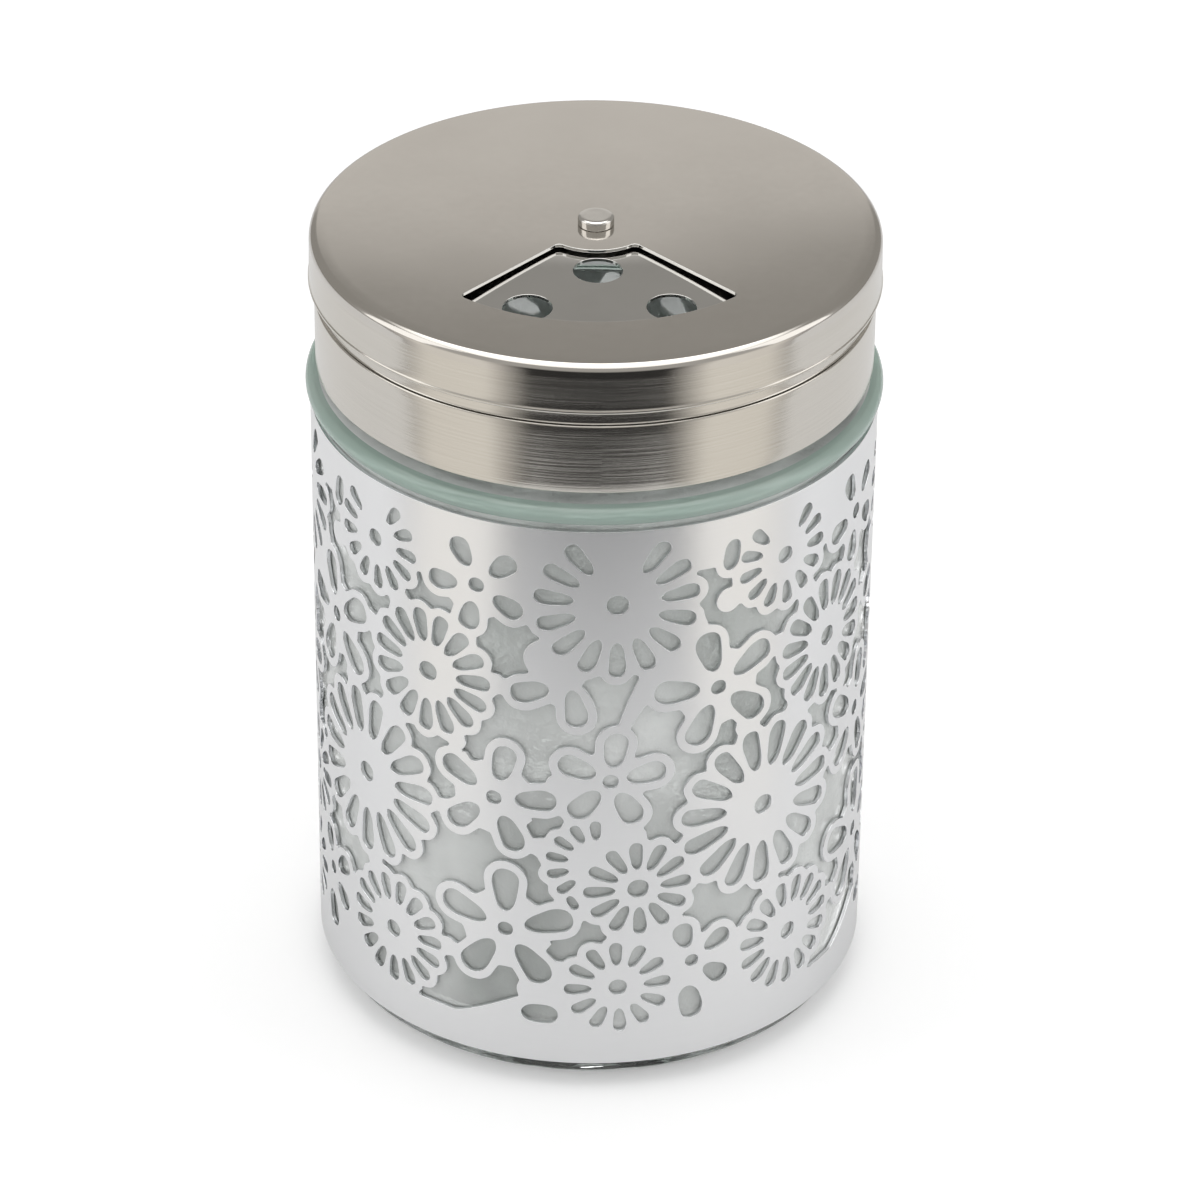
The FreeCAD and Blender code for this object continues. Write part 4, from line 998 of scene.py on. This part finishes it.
def studio_world():
    """White to the camera and through the glass, toned in reflections, even as light."""
    world = bpy.data.worlds.new("studio")
    bpy.context.scene.world = world
    world.use_nodes = True
    nodes = world.node_tree.nodes
    links = world.node_tree.links
    output = nodes["World Output"]
    nodes.remove(nodes["Background"])
    place = nodes.new("ShaderNodeTexCoord")
    parts = nodes.new("ShaderNodeSeparateXYZ")
    links.new(place.outputs["Generated"], parts.inputs["Vector"])

    def worked(operation, first, second):
        step = nodes.new("ShaderNodeMath")
        step.operation = operation
        for socket, value in zip(step.inputs, (first, second)):
            if isinstance(value, float):
                socket.default_value = value
            else:
                links.new(value, socket)
        return step.outputs["Value"]

    def eased(value, low, high):
        step = nodes.new("ShaderNodeMapRange")
        step.interpolation_type = "SMOOTHSTEP"
        step.inputs["From Min"].default_value = low
        step.inputs["From Max"].default_value = high
        links.new(value, step.inputs["Value"])
        return step.outputs["Result"]

    def background(strength, tone):
        shade = nodes.new("ShaderNodeBackground")
        shade.inputs["Strength"].default_value = strength
        shade.inputs["Color"].default_value = (*tone, 1.0)
        return shade.outputs["Background"]

    def mixed(factor, first, second):
        step = nodes.new("ShaderNodeMixShader")
        links.new(factor, step.inputs["Fac"])
        links.new(first, step.inputs[1])
        links.new(second, step.inputs[2])
        return step.outputs["Shader"]

    def toned(value, tones):
        ramp = nodes.new("ShaderNodeValToRGB")
        fill_ramp(ramp.color_ramp, tones)
        links.new(value, ramp.inputs["Fac"])
        shade = nodes.new("ShaderNodeBackground")
        links.new(ramp.outputs["Color"], shade.inputs["Color"])
        return shade.outputs["Background"]

    rise = parts.outputs["Z"]
    # How far round from the front, from 0 there to 1 at the back
    front = worked("MULTIPLY", parts.outputs["Y"], -1.0)
    away = worked("ABSOLUTE", worked("ARCTAN2", parts.outputs["X"], front), 0.0)
    share = nodes.new("ShaderNodeMapRange")
    share.inputs["From Max"].default_value = math.pi
    links.new(away, share.inputs["Value"])
    low_tones = (
        (0.0, (0.03, 0.03, 0.03)),
        (0.15, (0.035, 0.034, 0.033)),
        (0.25, (0.85, 0.82, 0.77)),
        (0.4, (0.82, 0.79, 0.74)),
        (0.47, (0.42, 0.41, 0.4)),
        (0.8, (0.45, 0.45, 0.45)),
        (1.0, (0.55, 0.54, 0.52)),
    )
    high_tones = (
        (0.0, (0.45, 0.44, 0.42)),
        (0.5, (0.5, 0.49, 0.47)),
        (0.72, (0.36, 0.35, 0.34)),
        (0.86, (0.45, 0.44, 0.42)),
        (0.93, (0.66, 0.64, 0.61)),
        (1.0, (0.68, 0.66, 0.63)),
    )
    # Walls of one set of tones low down and another higher up
    low_walls = toned(share.outputs["Result"], low_tones)
    high_walls = toned(share.outputs["Result"], high_tones)
    walls = mixed(eased(rise, -0.1, 0.25), low_walls, high_walls)
    # A darker stretch high at the back, arched, which the front half of the lid mirrors
    sideways = worked("MULTIPLY", parts.outputs["X"], parts.outputs["X"])
    arch_bend = 2.7
    arched = worked("ADD", rise, worked("MULTIPLY", sideways, arch_bend))
    behind = eased(parts.outputs["Y"], 0.1, 0.4)
    stretch = worked("MULTIPLY", eased(arched, 0.465, 0.5), behind)
    dim = background(1.0, (0.33, 0.32, 0.3))
    walls = mixed(stretch, walls, dim)
    ceiling = background(1.6, (1.0, 0.99, 0.97))
    mirrored = mixed(eased(rise, 0.74, 0.82), walls, ceiling)
    light = background(0.6, (1.0, 1.0, 1.0))
    white = background(1.0, (1.0, 1.0, 1.0))
    path = nodes.new("ShaderNodeLightPath")
    seen = mixed(path.outputs["Is Glossy Ray"], light, mirrored)
    seen = mixed(path.outputs["Is Transmission Ray"], seen, white)
    seen = mixed(path.outputs["Is Camera Ray"], seen, white)
    links.new(seen, output.inputs["Surface"])


studio_world()


LAMP_TARGET = (0.0, 0.0, 0.05)


def soft_lamp(name, place, width, height, power):
    """A soft rectangular lamp, in metres, aimed at the jar."""
    lamp = bpy.data.lights.new(name, "AREA")
    lamp.shape = "RECTANGLE"
    lamp.size = width
    lamp.size_y = height
    lamp.energy = power
    piece = bpy.data.objects.new(name, lamp)
    bpy.context.scene.collection.objects.link(piece)
    piece.location = place
    direction = Vector(LAMP_TARGET) - piece.location
    piece.rotation_euler = direction.to_track_quat("-Z", "Y").to_euler()


soft_lamp("lamp_over", (0.0, 0.1, 0.9), width=0.7, height=0.7, power=1.5)
soft_lamp("lamp_left", (-0.8, -0.1, 0.5), width=0.5, height=0.7, power=1.0)
soft_lamp("lamp_right", (0.8, -0.1, 0.5), width=0.5, height=0.7, power=1.0)


# Camera, as fitted to the photograph: its axes and its place in metres
camera_data = bpy.data.cameras.new("camera")
camera_data.sensor_width = 36.0
camera_data.lens = 165.7
camera_data.clip_start = 0.01
camera = bpy.data.objects.new("camera", camera_data)
bpy.context.scene.collection.objects.link(camera)
right = (0.99968, -0.02379, 0.00938)
upward = (0.00454, 0.52592, 0.85052)
backward = (-0.02517, -0.8502, 0.52585)
stand = (-0.015617, -0.559076, 0.393171)
camera.matrix_world = Matrix(
    [[right[i], upward[i], backward[i], stand[i]] for i in range(3)] + [[0.0, 0.0, 0.0, 1.0]]
)
bpy.context.scene.camera = camera

bpy.context.scene.view_settings.view_transform = "Standard"
